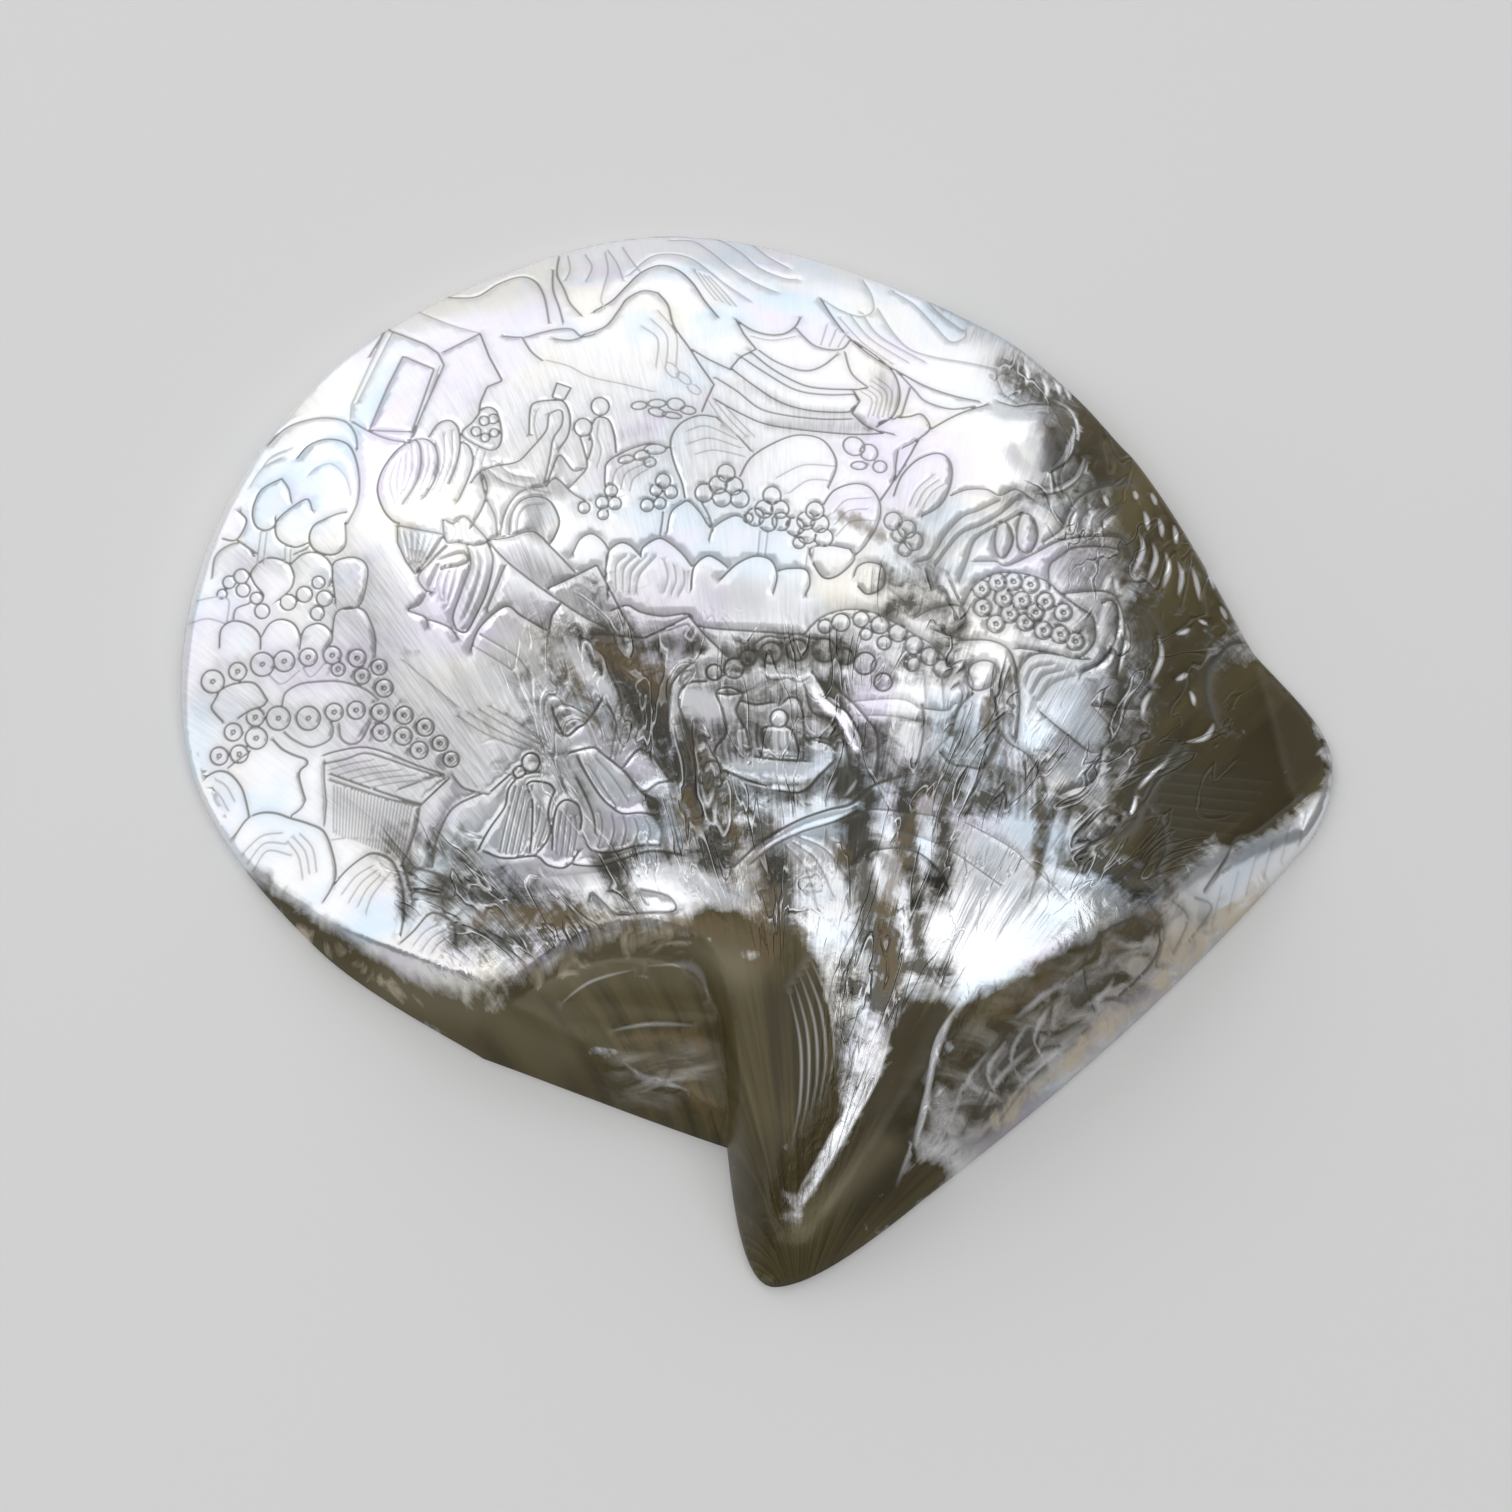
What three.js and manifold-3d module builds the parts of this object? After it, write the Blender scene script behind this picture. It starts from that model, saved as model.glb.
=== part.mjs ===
// One valve of a large pearl oyster, ground down to its nacre and lying on its margin, outer side up.
// The whole valve is a single solid: a low dome over a round margin, a straight hinge edge with a flat
// wing at one end and the beak at the other, a sunken ear beside the beak, and an open hollow below.
//
// Plan coordinates are millimetres from the centre of the round margin: x to the right, y away from
// the beak, z up from the surface that the margin rests on.
import * as THREE from "three";
import Module from "manifold-3d";

// Outline
// Round margin, from the hollow above the wing to the sunken ear: direction in degrees and radius.
const MARGIN = [
  [28, 75.6], [52, 73.7], [88, 75.9], [113, 74.9], [140, 75.2],
  [168, 75.8], [195, 77.2], [222, 75], [246, 76],
];
const NOTCH = [5.3, -85]; // inner corner between the ear and the beak
const EAR_CREST = [-9, -63]; // where the ear reaches furthest under the body
const BEAK_TIP = [12.3, -109.2];
const BEAK_SHOULDER = [34.5, -93.9]; // where the beak's round end meets the hinge edge
const HINGE_END = [90, -34.3];
const WING_TIP = [95.8, -19];
const WING_SHOULDER = [84, 1.5];

// Dome
const DOME_HEIGHT = 26.5;
const DOME_APEX = [0, -6];
const DOME_POWER = 2.2; // how the dome steepens towards its margin
const MARGIN_HEIGHT = 3; // height of the dome where its reach ends
const REACH = 81; // distance from the apex to that height, away from the hinge
const HINGE_REACH = 50; // how much further it is towards the hinge
const HINGE_REACH_DEG = 300;
const HINGE_REACH_SPREAD_DEG = 38;
const THIN_SIDE_REACH = 9; // how much nearer it is on the thin side
const THIN_SIDE_DEG = 203;
const THIN_SIDE_SPREAD_DEG = 29;
const LEAST_HEIGHT = 2.6;

// Walls and beak
const WALL_FOOT = 1.5; // upright strip at the foot of every wall
const BEAK_RAMP_START = 45.8; // the beak slopes down as this height plus BEAK_RAMP_SLOPE times y
const BEAK_RAMP_SLOPE = 0.38;
const BEAK_RAMP_FILLET = 8;
const EAR_SLOPE_DEG = 26;
const EAR_TOP = 13.5; // height of the sunken ear below the body
const EAR_FILLET = 3;

// Hollow
const HOLLOW_RADIUS = 72.5;
const HOLLOW_HEIGHT = 20.5;
const HOLLOW_POWER = 2.4;
const HINGE_PLATE = 64; // distance from the disc's centre to the inner edge of the flat hinge plate
const HINGE_NORMAL_DEG = -40.8; // the direction in which the hinge edge faces
const PLATE_ROUNDING = 6;
const PLATE_FACING = 0.2; // the plate shapes the hollow's edge where it faces it at least this squarely

// Mesh
const FACE_SPACING = 3.1; // between points on the open face
const BEAK_SPACING = 1.4; // between points on the beak
const BEAK_MIDDLE = [20, -84];
const BEAK_EXTENT = 18; // the spacing starts to grow at this distance from the beak's middle
const SPACING_GROWTH = 0.05;
const FILL_APART = 0.8; // the least distance between fill points, as a share of their spacing
const WALL_ROWS = [1, 0.5, 1.5, 0.25, 0.75, 2.2]; // rows over a wall, as shares of the way to its brow
const EAR_ROWS = [1, 2.4, -1.6]; // rows beside the ear's edge and beside the body's foot in the ear
const ROW_SPACING = 0.4; // rows may come this close to each other
const EDGE_SPACING = 0.1; // and the brow this close to the outline
const EDGE_CLEARANCE = 0.6; // fill points keep this share of their spacing from the outline
const HOLLOW_RINGS = 8;
const HOLLOW_STEPS = 72;
const CUT_BELOW = 1; // how far the hollow's cut reaches below the margin
const FINE = 4; // the distance to an edge is measured on a finer copy of the outline
const HALVINGS = 20; // steps of the search for a brow
const DISC_REACH = 80; // the fill's rings end here, just past the margin
const GRID_REACH = 120; // and its grid here, just past the beak
const FURTHEST_BROW = 14; // no brow lies further than this from its foot
const SCATTER = 0.03; // fill points are moved this much, so that no four of them lie on one circle
const FAR = 1e4; // corners of the first triangle, far outside everything

const rad = THREE.MathUtils.degToRad;
const clamp = THREE.MathUtils.clamp;
const mix = ([from, to], t) => from + (to - from) * t;
const toVector = ([x, y]) => new THREE.Vector2(x, y);
const polar = ([deg, radius]) => [radius * Math.cos(rad(deg)), radius * Math.sin(rad(deg))];
const bezier = (...points) => new THREE.CubicBezierCurve(...points.map(toVector));
const marginStart = polar(MARGIN[0]);
const marginEnd = polar(MARGIN[MARGIN.length - 1]);

// The stretches of the outline, anticlockwise. Each has the slope of the wall over it at its two ends
// and the radius with which that wall rounds over into the dome, or on the sunken ear the height at
// which its gentle slope would meet the outline.
const roundMargin = {
  curve: new THREE.SplineCurve(MARGIN.map(polar).map(toVector)),
  steps: 92,
  slope: [72, 70],
  rounding: [0.8, 1.5],
};
const earEdge = {
  curve: bezier(marginEnd, [-21, -73.6], [-6, -80.6], NOTCH),
  steps: 16,
  slope: [70, 66],
  shelf: [9, 4],
};
const beakSide = {
  curve: bezier(NOTCH, [6, -92], [7.2, BEAK_TIP[1]], BEAK_TIP),
  steps: 10,
  slope: [84, 62],
  rounding: [11, 6],
};
const beakFront = {
  curve: bezier(BEAK_TIP, [18, BEAK_TIP[1]], [27, -101], BEAK_SHOULDER),
  steps: 11,
  slope: [62, 58],
  rounding: [5, 3],
};
const hingeEdge = {
  curve: bezier(BEAK_SHOULDER, [54.8, -75.7], [73.7, -56.2], HINGE_END),
  steps: 34,
  slope: [58, 63],
  rounding: [3, 2],
};
const wingEnd = {
  curve: bezier(HINGE_END, [93.4, -30.6], [WING_TIP[0], -25], WING_TIP),
  steps: 8,
  slope: [63, 66],
  rounding: [2, 2],
};
const wingTop = {
  curve: bezier(WING_TIP, [WING_TIP[0], -12], [89.5, -6], WING_SHOULDER),
  steps: 10,
  slope: [66, 70],
  rounding: [2, 1.5],
};
const sinus = {
  curve: bezier(WING_SHOULDER, [80.8, 8.7], [72.4, 27.8], marginStart),
  steps: 16,
  slope: [70, 72],
  rounding: [1.5, 0.8],
};

// The body's foot follows the outline, but passes inside the sunken ear in two bends.
const earLine = [
  {
    curve: bezier(marginEnd, [-26, -71.4], [-19, -63.4], EAR_CREST),
    steps: 12,
    slope: [70, 76],
    rounding: [1.5, 7],
    sunken: true,
  },
  {
    curve: bezier(EAR_CREST, [-2, -62.7], [3.2, -63.5], NOTCH),
    steps: 16,
    slope: [76, 84],
    rounding: [7, 11],
    sunken: true,
  },
];
const OUTLINE = [
  roundMargin, earEdge, beakSide, beakFront, hingeEdge, wingEnd, wingTop, sinus,
];
const BODY_FOOT = [
  roundMargin, ...earLine, beakSide, beakFront, hingeEdge, wingEnd, wingTop, sinus,
];

function sample(stretches, finer) {
  const points = [];
  for (const stretch of stretches) {
    const { curve, steps, slope, rounding = [0, 0], shelf = [0, 0], sunken = false } = stretch;
    const count = steps * finer;
    for (let i = 0; i < count; i++) {
      const t = i / count;
      const { x, y } = curve.getPoint(t);
      const wall = { slope: mix(slope, t), rounding: mix(rounding, t), shelf: mix(shelf, t) };
      points.push({ x, y, sunken, ...wall });
    }
  }
  return points;
}

const outlineFine = sample(OUTLINE, FINE);
const footFine = sample(BODY_FOOT, FINE);

// Distance from a point to a closed line, negative outside it, with the line's values at the nearest place.
function nearest(line, x, y) {
  let best = { distance: Infinity };
  let inside = false;
  for (let i = 0; i < line.length; i++) {
    const a = line[i];
    const b = line[(i + 1) % line.length];
    const ex = b.x - a.x;
    const ey = b.y - a.y;
    const t = clamp(((x - a.x) * ex + (y - a.y) * ey) / (ex * ex + ey * ey), 0, 1);
    const distance = Math.hypot(x - a.x - t * ex, y - a.y - t * ey);
    if (distance < best.distance) {
      best = {
        distance,
        slope: mix([a.slope, b.slope], t),
        rounding: mix([a.rounding, b.rounding], t),
        shelf: a.shelf,
        sunken: a.sunken,
      };
    }
    if (a.y > y !== b.y > y && x < a.x + ((y - a.y) / ey) * ex) inside = !inside;
  }
  return { ...best, distance: inside ? best.distance : -best.distance };
}

// The lower of two heights, with a fillet of about the given radius where they meet.
function filletMin(a, b, radius) {
  const h = clamp(0.5 + (0.5 * (b - a)) / radius, 0, 1);
  return b + (a - b) * h - radius * h * (1 - h);
}

function bell(angleDeg, centreDeg, spreadDeg) {
  const turn = ((((angleDeg - centreDeg + 180) % 360) + 360) % 360) - 180;
  return Math.exp(-((turn / spreadDeg) ** 2));
}

function dome(x, y) {
  const dx = x - DOME_APEX[0];
  const dy = y - DOME_APEX[1];
  const deg = THREE.MathUtils.radToDeg(Math.atan2(dy, dx));
  const reach =
    REACH +
    HINGE_REACH * bell(deg, HINGE_REACH_DEG, HINGE_REACH_SPREAD_DEG) -
    THIN_SIDE_REACH * bell(deg, THIN_SIDE_DEG, THIN_SIDE_SPREAD_DEG);
  const fall = (DOME_HEIGHT - MARGIN_HEIGHT) * (Math.hypot(dx, dy) / reach) ** DOME_POWER;
  return Math.max(DOME_HEIGHT - fall, LEAST_HEIGHT);
}

// Rounded ridges and furrows, each along a line of points, with its height (negative for a furrow) at
// the line's two ends and its half width.
const FOLDS = [
  {
    name: "ridge beside the ear",
    line: [[6, -60], [11.5, -72], [12, -86], [11.5, -100]],
    height: [0.4, 2],
    width: 5,
  },
  {
    name: "furrow of the beak",
    line: [[22, -56], [25.5, -72], [23, -86], [15.5, -99.5]],
    height: [-0.3, -3.6],
    width: 3.6,
  },
  {
    name: "ridge beside the hinge",
    line: [[42, -60], [36, -74], [30.5, -86], [21, -101]],
    height: [0.3, 2],
    width: 3,
  },
  {
    name: "groove at the hinge",
    line: [[50, -64], [38.7, -76.4], [35.4, -85.7], [32, -94]],
    height: [-0.4, -1.8],
    width: 1.6,
  },
  {
    name: "ledge on the ear",
    line: [[-24, -67], [-8, -68.5], [3.5, -70]],
    height: [0.2, 1.3],
    width: 2,
  },
  {
    name: "crease across the face",
    line: [[-26, -4], [-12, -20], [-2, -34], [5, -48]],
    height: [0, -1],
    width: 5,
  },
  {
    name: "swell beside the crease",
    line: [[-14, 6], [4, -16], [14, -32]],
    height: [0, 0.6],
    width: 7,
  },
  {
    name: "blister at the far side",
    line: [[48, 32], [52, 33]],
    height: [2, 2.6],
    width: 5.5,
  },
  {
    name: "blister near the beak",
    line: [[28, -49], [34, -52]],
    height: [1.3, 1.6],
    width: 4.6,
  },
];

function folds(x, y) {
  let sum = 0;
  for (const { line, height, width } of FOLDS) {
    const spans = line.length - 1;
    let best = Infinity;
    let along = 0;
    for (let i = 0; i < spans; i++) {
      const [ax, ay] = line[i];
      const ex = line[i + 1][0] - ax;
      const ey = line[i + 1][1] - ay;
      const t = clamp(((x - ax) * ex + (y - ay) * ey) / (ex * ex + ey * ey), 0, 1);
      const distance = Math.hypot(x - ax - t * ex, y - ay - t * ey);
      if (distance < best) {
        best = distance;
        along = (i + t) / spans;
      }
    }
    sum += mix(height, along) * Math.exp(-((best / width) ** 2));
  }
  return sum;
}

const wallHeight = (foot) => WALL_FOOT + foot.distance * Math.tan(rad(foot.slope));

// Height of the sunken ear: a low wall at its edge, then a gentle slope up to a level stretch.
function earHeight(x, y, relief) {
  const edge = nearest(outlineFine, x, y);
  const slope = edge.shelf + edge.distance * Math.tan(rad(EAR_SLOPE_DEG));
  return filletMin(wallHeight(edge), filletMin(slope, EAR_TOP, EAR_FILLET) + relief, EAR_FILLET);
}

// Height of the outer side over a point of the plan.
function outerHeight(x, y) {
  const foot = nearest(footFine, x, y);
  const relief = folds(x, y);
  const ramp = BEAK_RAMP_START + BEAK_RAMP_SLOPE * y;
  const shape = filletMin(dome(x, y), ramp, BEAK_RAMP_FILLET) + relief;
  const body = Math.max(filletMin(shape, wallHeight(foot), foot.rounding), WALL_FOOT);
  return foot.sunken ? Math.max(body, earHeight(x, y, relief)) : body;
}

// The hollow's edge: round, but straight along the hinge plate.
function hollowEdge(angle) {
  const facing = Math.cos(angle - rad(HINGE_NORMAL_DEG));
  if (facing < PLATE_FACING) return HOLLOW_RADIUS;
  return filletMin(HOLLOW_RADIUS, HINGE_PLATE / facing, PLATE_ROUNDING);
}

// How far inwards from a foot point the wall over it reaches the dome.
function browDistance(p, inward) {
  let low = 0;
  let high = FURTHEST_BROW;
  for (let i = 0; i < HALVINGS; i++) {
    const middle = (low + high) / 2;
    const x = p.x + middle * inward.x;
    const y = p.y + middle * inward.y;
    if (WALL_FOOT + middle * Math.tan(rad(p.slope)) > dome(x, y)) high = middle;
    else low = middle;
  }
  return high;
}

// The points of the mesh in the plan: the outline, rows over the walls and along the folds, and then
// rings and a grid that fill the rest.
function planPoints(outline) {
  const points = outline.map(({ x, y }) => ({ x, y }));
  const keep = (x, y, apart, clearance) => {
    if (nearest(outline, x, y).distance < clearance) return;
    if (points.every((p) => Math.hypot(p.x - x, p.y - y) >= apart)) points.push({ x, y });
  };
  const addRow = (line, distance, closed, apart = ROW_SPACING) => {
    line.forEach((p, i) => {
      const start = closed ? line.at(i - 1) : line[Math.max(i - 1, 0)];
      const end = closed ? line[(i + 1) % line.length] : line[Math.min(i + 1, line.length - 1)];
      const length = Math.hypot(end.x - start.x, end.y - start.y);
      const inward = { x: (start.y - end.y) / length, y: (end.x - start.x) / length };
      const d = distance(p, inward);
      keep(p.x + d * inward.x, p.y + d * inward.y, apart, EDGE_SPACING);
    });
  };
  const bodyFoot = sample(BODY_FOOT, 1);
  WALL_ROWS.forEach((share, i) => {
    const apart = i === 0 ? EDGE_SPACING : ROW_SPACING;
    addRow(bodyFoot, (p, inward) => share * browDistance(p, inward), true, apart);
  });
  const [edgeRow, shelfRow, footRow] = EAR_ROWS;
  addRow(sample([earEdge], 1), () => edgeRow, false);
  addRow(sample([earEdge], 1), () => shelfRow, false);
  addRow(sample(earLine, 1), () => 0, false, EDGE_SPACING);
  addRow(sample(earLine, 1), () => footRow, false);
  for (const { line, width } of FOLDS) {
    const curve = new THREE.SplineCurve(line.map(toVector));
    const path = curve.getSpacedPoints(Math.ceil(curve.getLength() / BEAK_SPACING));
    for (const offset of [0, width, -width]) addRow(path, () => offset, false, BEAK_SPACING / 2);
  }
  const spacing = (x, y) => {
    const away = Math.hypot(x - BEAK_MIDDLE[0], y - BEAK_MIDDLE[1]) - BEAK_EXTENT;
    return clamp(BEAK_SPACING + SPACING_GROWTH * away, BEAK_SPACING, FACE_SPACING);
  };
  const scatter = (i) => SCATTER * Math.sin(i * i);
  for (let radius = 0; radius < DISC_REACH; radius += FACE_SPACING) {
    const count = Math.max(1, Math.floor((2 * Math.PI * radius) / FACE_SPACING));
    for (let i = 0; i < count; i++) {
      const angle = ((i + radius) / count) * 2 * Math.PI;
      const x = radius * Math.cos(angle) + scatter(i);
      const y = radius * Math.sin(angle) - scatter(i + 1);
      const inFace = spacing(x, y) >= FACE_SPACING;
      if (inFace) keep(x, y, FACE_SPACING * FILL_APART, FACE_SPACING * EDGE_CLEARANCE);
    }
  }
  for (let y = -GRID_REACH; y < DISC_REACH; y += BEAK_SPACING) {
    for (let x = -DISC_REACH; x < GRID_REACH; x += BEAK_SPACING) {
      const side = Math.round(y / BEAK_SPACING) % 2 ? BEAK_SPACING / 2 : 0;
      const apart = spacing(x, y);
      keep(x + side + scatter(x + y), y + scatter(x - y), apart * FILL_APART, apart * EDGE_CLEARANCE);
    }
  }
  return points;
}

// Delaunay triangles of a set of points, anticlockwise: each new point replaces the triangles whose
// circles it falls in.
function triangulate(points) {
  const corners = [{ x: -FAR, y: -FAR }, { x: FAR, y: -FAR }, { x: 0, y: FAR }];
  const all = [...points, ...corners];
  const withCircle = (a, b, c) => {
    const [p, q, r] = [all[a], all[b], all[c]];
    const qx = q.x - p.x;
    const qy = q.y - p.y;
    const rx = r.x - p.x;
    const ry = r.y - p.y;
    const twice = 2 * (qx * ry - qy * rx);
    const q2 = qx * qx + qy * qy;
    const r2 = rx * rx + ry * ry;
    const cx = (ry * q2 - qy * r2) / twice;
    const cy = (qx * r2 - rx * q2) / twice;
    return { a, b, c, x: p.x + cx, y: p.y + cy, radius2: cx * cx + cy * cy };
  };
  const first = points.length;
  let triangles = [withCircle(first, first + 1, first + 2)];
  points.forEach((p, i) => {
    const rim = new Map();
    const kept = [];
    for (const t of triangles) {
      if ((p.x - t.x) ** 2 + (p.y - t.y) ** 2 >= t.radius2) {
        kept.push(t);
        continue;
      }
      for (const [a, b] of [[t.a, t.b], [t.b, t.c], [t.c, t.a]]) {
        if (!rim.delete(`${b} ${a}`)) rim.set(`${a} ${b}`, [a, b]);
      }
    }
    triangles = kept;
    for (const [a, b] of rim.values()) triangles.push(withCircle(a, b, i));
  });
  return triangles.filter((t) => Math.max(t.a, t.b, t.c) < first);
}

function toSolid(vertices, faces) {
  const mesh = new wasm.Mesh({
    numProp: 3,
    vertProperties: new Float32Array(vertices),
    triVerts: new Uint32Array(faces),
  });
  return new wasm.Manifold(mesh);
}

// The valve's outside, filled down to the surface that it rests on.
function valveBlock() {
  const outline = sample(OUTLINE, 1);
  const count = outline.length;
  const points = planPoints(outline);
  const vertices = points.flatMap(({ x, y }, i) => [x, y, i < count ? WALL_FOOT : outerHeight(x, y)]);
  const faces = [];
  for (const { a, b, c } of triangulate(points)) {
    const x = (points[a].x + points[b].x + points[c].x) / 3;
    const y = (points[a].y + points[b].y + points[c].y) / 3;
    if (nearest(outline, x, y).distance > 0) faces.push(a, b, c);
  }
  const foot = points.length;
  outline.forEach(({ x, y }) => vertices.push(x, y, 0));
  for (let i = 0; i < count; i++) {
    const next = (i + 1) % count;
    faces.push(foot + i, foot + next, next, foot + i, next, i);
  }
  const contour = outline.map(({ x, y }) => toVector([x, y]));
  for (const [a, b, c] of THREE.ShapeUtils.triangulateShape(contour, [])) {
    faces.push(foot + a, foot + c, foot + b);
  }
  return toSolid(vertices, faces);
}

// The hollow, with rings that rise from its edge to its crown.
function hollowSolid() {
  const vertices = [0, 0, HOLLOW_HEIGHT, 0, 0, -CUT_BELOW];
  const faces = [];
  const levels = HOLLOW_RINGS + 1;
  for (let i = 0; i < HOLLOW_STEPS; i++) {
    const angle = (i / HOLLOW_STEPS) * 2 * Math.PI;
    const edge = hollowEdge(angle);
    for (let k = 1; k <= levels; k++) {
      const share = Math.min(k / HOLLOW_RINGS, 1);
      const height = k === levels ? -CUT_BELOW : HOLLOW_HEIGHT * (1 - share ** HOLLOW_POWER);
      vertices.push(edge * share * Math.cos(angle), edge * share * Math.sin(angle), height);
    }
    const here = 2 + i * levels;
    const next = 2 + ((i + 1) % HOLLOW_STEPS) * levels;
    faces.push(0, here, next);
    for (let k = 1; k < levels; k++) {
      faces.push(here + k - 1, here + k, next + k, here + k - 1, next + k, next + k - 1);
    }
    faces.push(1, next + levels - 1, here + levels - 1);
  }
  return toSolid(vertices, faces);
}

function toGeometry(solid) {
  const mesh = solid.getMesh();
  const geometry = new THREE.BufferGeometry();
  geometry.setAttribute("position", new THREE.BufferAttribute(mesh.vertProperties, 3));
  geometry.setIndex(new THREE.BufferAttribute(mesh.triVerts, 1));
  geometry.computeVertexNormals();
  return geometry;
}

const wasm = await Module();
wasm.setup();

const nacre = new THREE.MeshStandardMaterial({
  color: 0xd8d4c6,
  roughness: 0.3,
  metalness: 0.2,
});

const valve = valveBlock().subtract(hollowSolid());
const shell = new THREE.Mesh(toGeometry(valve), nacre);
shell.name = "shell";
shell.geometry.computeBoundingBox();
const middle = shell.geometry.boundingBox.getCenter(new THREE.Vector3());
shell.position.set(-middle.x, -middle.y, 0);

const part = new THREE.Group();
part.name = "carved_pearl_shell";
part.add(shell);
export default part;
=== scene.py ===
import math
from collections import namedtuple
from functools import partial

import bpy
import numpy as np
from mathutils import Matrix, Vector, geometry, kdtree, noise


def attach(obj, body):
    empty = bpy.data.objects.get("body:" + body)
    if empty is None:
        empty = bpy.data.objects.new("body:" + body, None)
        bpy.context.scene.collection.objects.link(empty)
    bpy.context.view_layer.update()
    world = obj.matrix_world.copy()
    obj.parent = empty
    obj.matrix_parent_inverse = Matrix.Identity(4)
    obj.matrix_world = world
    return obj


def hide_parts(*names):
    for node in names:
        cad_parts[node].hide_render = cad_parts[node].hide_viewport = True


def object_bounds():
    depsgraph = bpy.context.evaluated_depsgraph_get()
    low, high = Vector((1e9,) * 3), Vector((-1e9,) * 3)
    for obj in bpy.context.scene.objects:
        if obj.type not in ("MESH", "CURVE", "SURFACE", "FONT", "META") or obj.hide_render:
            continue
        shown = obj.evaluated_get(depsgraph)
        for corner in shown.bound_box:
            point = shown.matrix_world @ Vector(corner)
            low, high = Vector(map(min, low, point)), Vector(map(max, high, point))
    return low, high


MM = 0.001
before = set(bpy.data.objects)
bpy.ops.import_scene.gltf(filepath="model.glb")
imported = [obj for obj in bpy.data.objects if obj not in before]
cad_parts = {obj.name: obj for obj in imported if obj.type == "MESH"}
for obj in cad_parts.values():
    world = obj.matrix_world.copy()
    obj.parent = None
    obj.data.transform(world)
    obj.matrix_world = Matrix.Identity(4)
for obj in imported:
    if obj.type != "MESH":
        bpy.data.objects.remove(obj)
cad_low, cad_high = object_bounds()

# Outline of the valve: direction in degrees and radius of the round margin, then its corners
MARGIN = [
    (28, 75.6), (52, 73.7), (88, 75.9), (113, 74.9), (140, 75.2),
    (168, 75.8), (195, 77.2), (222, 75), (246, 76),
]
NOTCH = (5.3, -85)
EAR_CREST = (-9, -63)
BEAK_TIP = (12.3, -109.2)
BEAK_SHOULDER = (34.5, -93.9)
HINGE_END = (90, -34.3)
WING_TIP = (95.8, -19)
WING_SHOULDER = (84, 1.5)

# Dome, walls and beak
DOME_HEIGHT = 26.5
DOME_APEX = (0, -6)
DOME_POWER = 2.2
MARGIN_HEIGHT = 3
REACH = 81
HINGE_REACH, HINGE_REACH_DEG, HINGE_REACH_SPREAD_DEG = 50, 300, 38
THIN_SIDE_REACH, THIN_SIDE_DEG, THIN_SIDE_SPREAD_DEG = 9, 203, 29
LEAST_HEIGHT = 2.6
WALL_FOOT = 1.5
BEAK_RAMP_START, BEAK_RAMP_SLOPE, BEAK_RAMP_FILLET = 45.8, 0.38, 8
EAR_SLOPE_DEG, EAR_TOP, EAR_FILLET = 26, 13.5, 3

# Hollow
HOLLOW_RADIUS = 72.5
HOLLOW_HEIGHT = 20.5
HOLLOW_POWER = 2.4
HINGE_PLATE = 64
HINGE_NORMAL_DEG = -40.8
PLATE_ROUNDING = 6
PLATE_FACING = 0.2
UNDERSIDE_OLIVE, UNDERSIDE_OLIVE_POWER = 0.8, 12  # olive at the hollow's edge, and how fast it fades

# Camera: the photograph is 1512 pixels square and a pixel is 0.15 mm at the valve
PHOTO_SIDE = 1512
PIXEL = 0.15
ELEVATION_DEG = 57.4
CAMERA_DISTANCE = 4000
DISC_CENTRE_PIXEL = (692, 666)
SENSOR = 36
CLIP_END = 100

# Mesh
MAP_STEP = 0.5  # grid of heights that lines are placed on
WITHIN_CELL = 1.001  # keeps a place inside the last cell of that grid
MEASURED_FINER, MESHED_FINER = 3, 4  # times the steps of the outline, as measured and as meshed
STROKE_STEP = 0.42  # between points along an engraved line
DENSE_PIXELS = 1.5  # lines are sampled this finely before they are placed
APART = 0.24  # least distance between two points of the engraving
FILL_LEVELS = [(0, 1.05), (0.6, 0.6), (1.6, 0.36), (5, 0.22)]  # steepness from which a spacing holds
FILL_CLEARANCE = 0.62
SAME_PLACE = 1e-6
TINY = 1e-9
HOLLOW_STEPS, HOLLOW_RINGS = 180, 30
SMOOTH_ANGLE_DEG = 70
# Width over which painted shade lies beside an engraved line
LINE_SHADE_WIDTH = 0.42
EDGE_FADE = 1.5  # relief dies away over this distance from the outline
CURVE_STEPS = 24  # from one pixel of a curve to the next
RING_STEPS = 24
BEAD_RADIUS, PIT_RADIUS = 9, 2.2  # in pixels

# Unevenness of the polished face, in millimetres
BEAK_ROOT = (16, -112)
WAVE_HEIGHT, WAVE_LENGTH = 0.20, 12
RAY_HEIGHT, RAY_LENGTH, RAY_COUNT = 0.20, 30, 17
ROUGH_HEIGHT, ROUGH_LENGTH = 0.34, 4.2
LEAST_ROUGH = 0.02
RAY_SLICE, ROUGH_SLICE = 5, 9  # third coordinate of the noise, to keep the kinds apart
ROUGH_FRACTAL = (1, 2, 3)  # roughness, lacunarity and octaves

# Depth and half width of the groove, how far the ground falls to it on either side and over what
# width, and its tone: 1 is painted shade in and beside the groove, -1 a painted highlight, a silver glint
# along the line. The inside is on the right of a line as it is drawn, so below one drawn left to right.
Style = namedtuple("Style", "depth half outside outside_width inside inside_width tone")
LINE = Style(0.13, 0.30, 0, 1, 0, 1, 0.9)
FAINT = Style(0.06, 0.25, 0, 1, 0, 1, 0.5)
FORM = Style(0.14, 0.28, 0.05, 0.9, 0.02, 0.7, 1)
BEAD = Style(0.12, 0.27, 0.02, 0.4, 0.04, 0.5, 1)
STEP = Style(0.15, 0.30, 0.15, 1.1, 0.03, 0.8, 1)
# Glint, gleam and sheen lines are painted highlights: silver laid into the colour along them
GLINT = Style(0.12, 0.54, 0, 1, 0, 1, -1)
GLEAM = Style(0.05, 0.42, 0, 1, 0, 1, -0.5)
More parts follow.
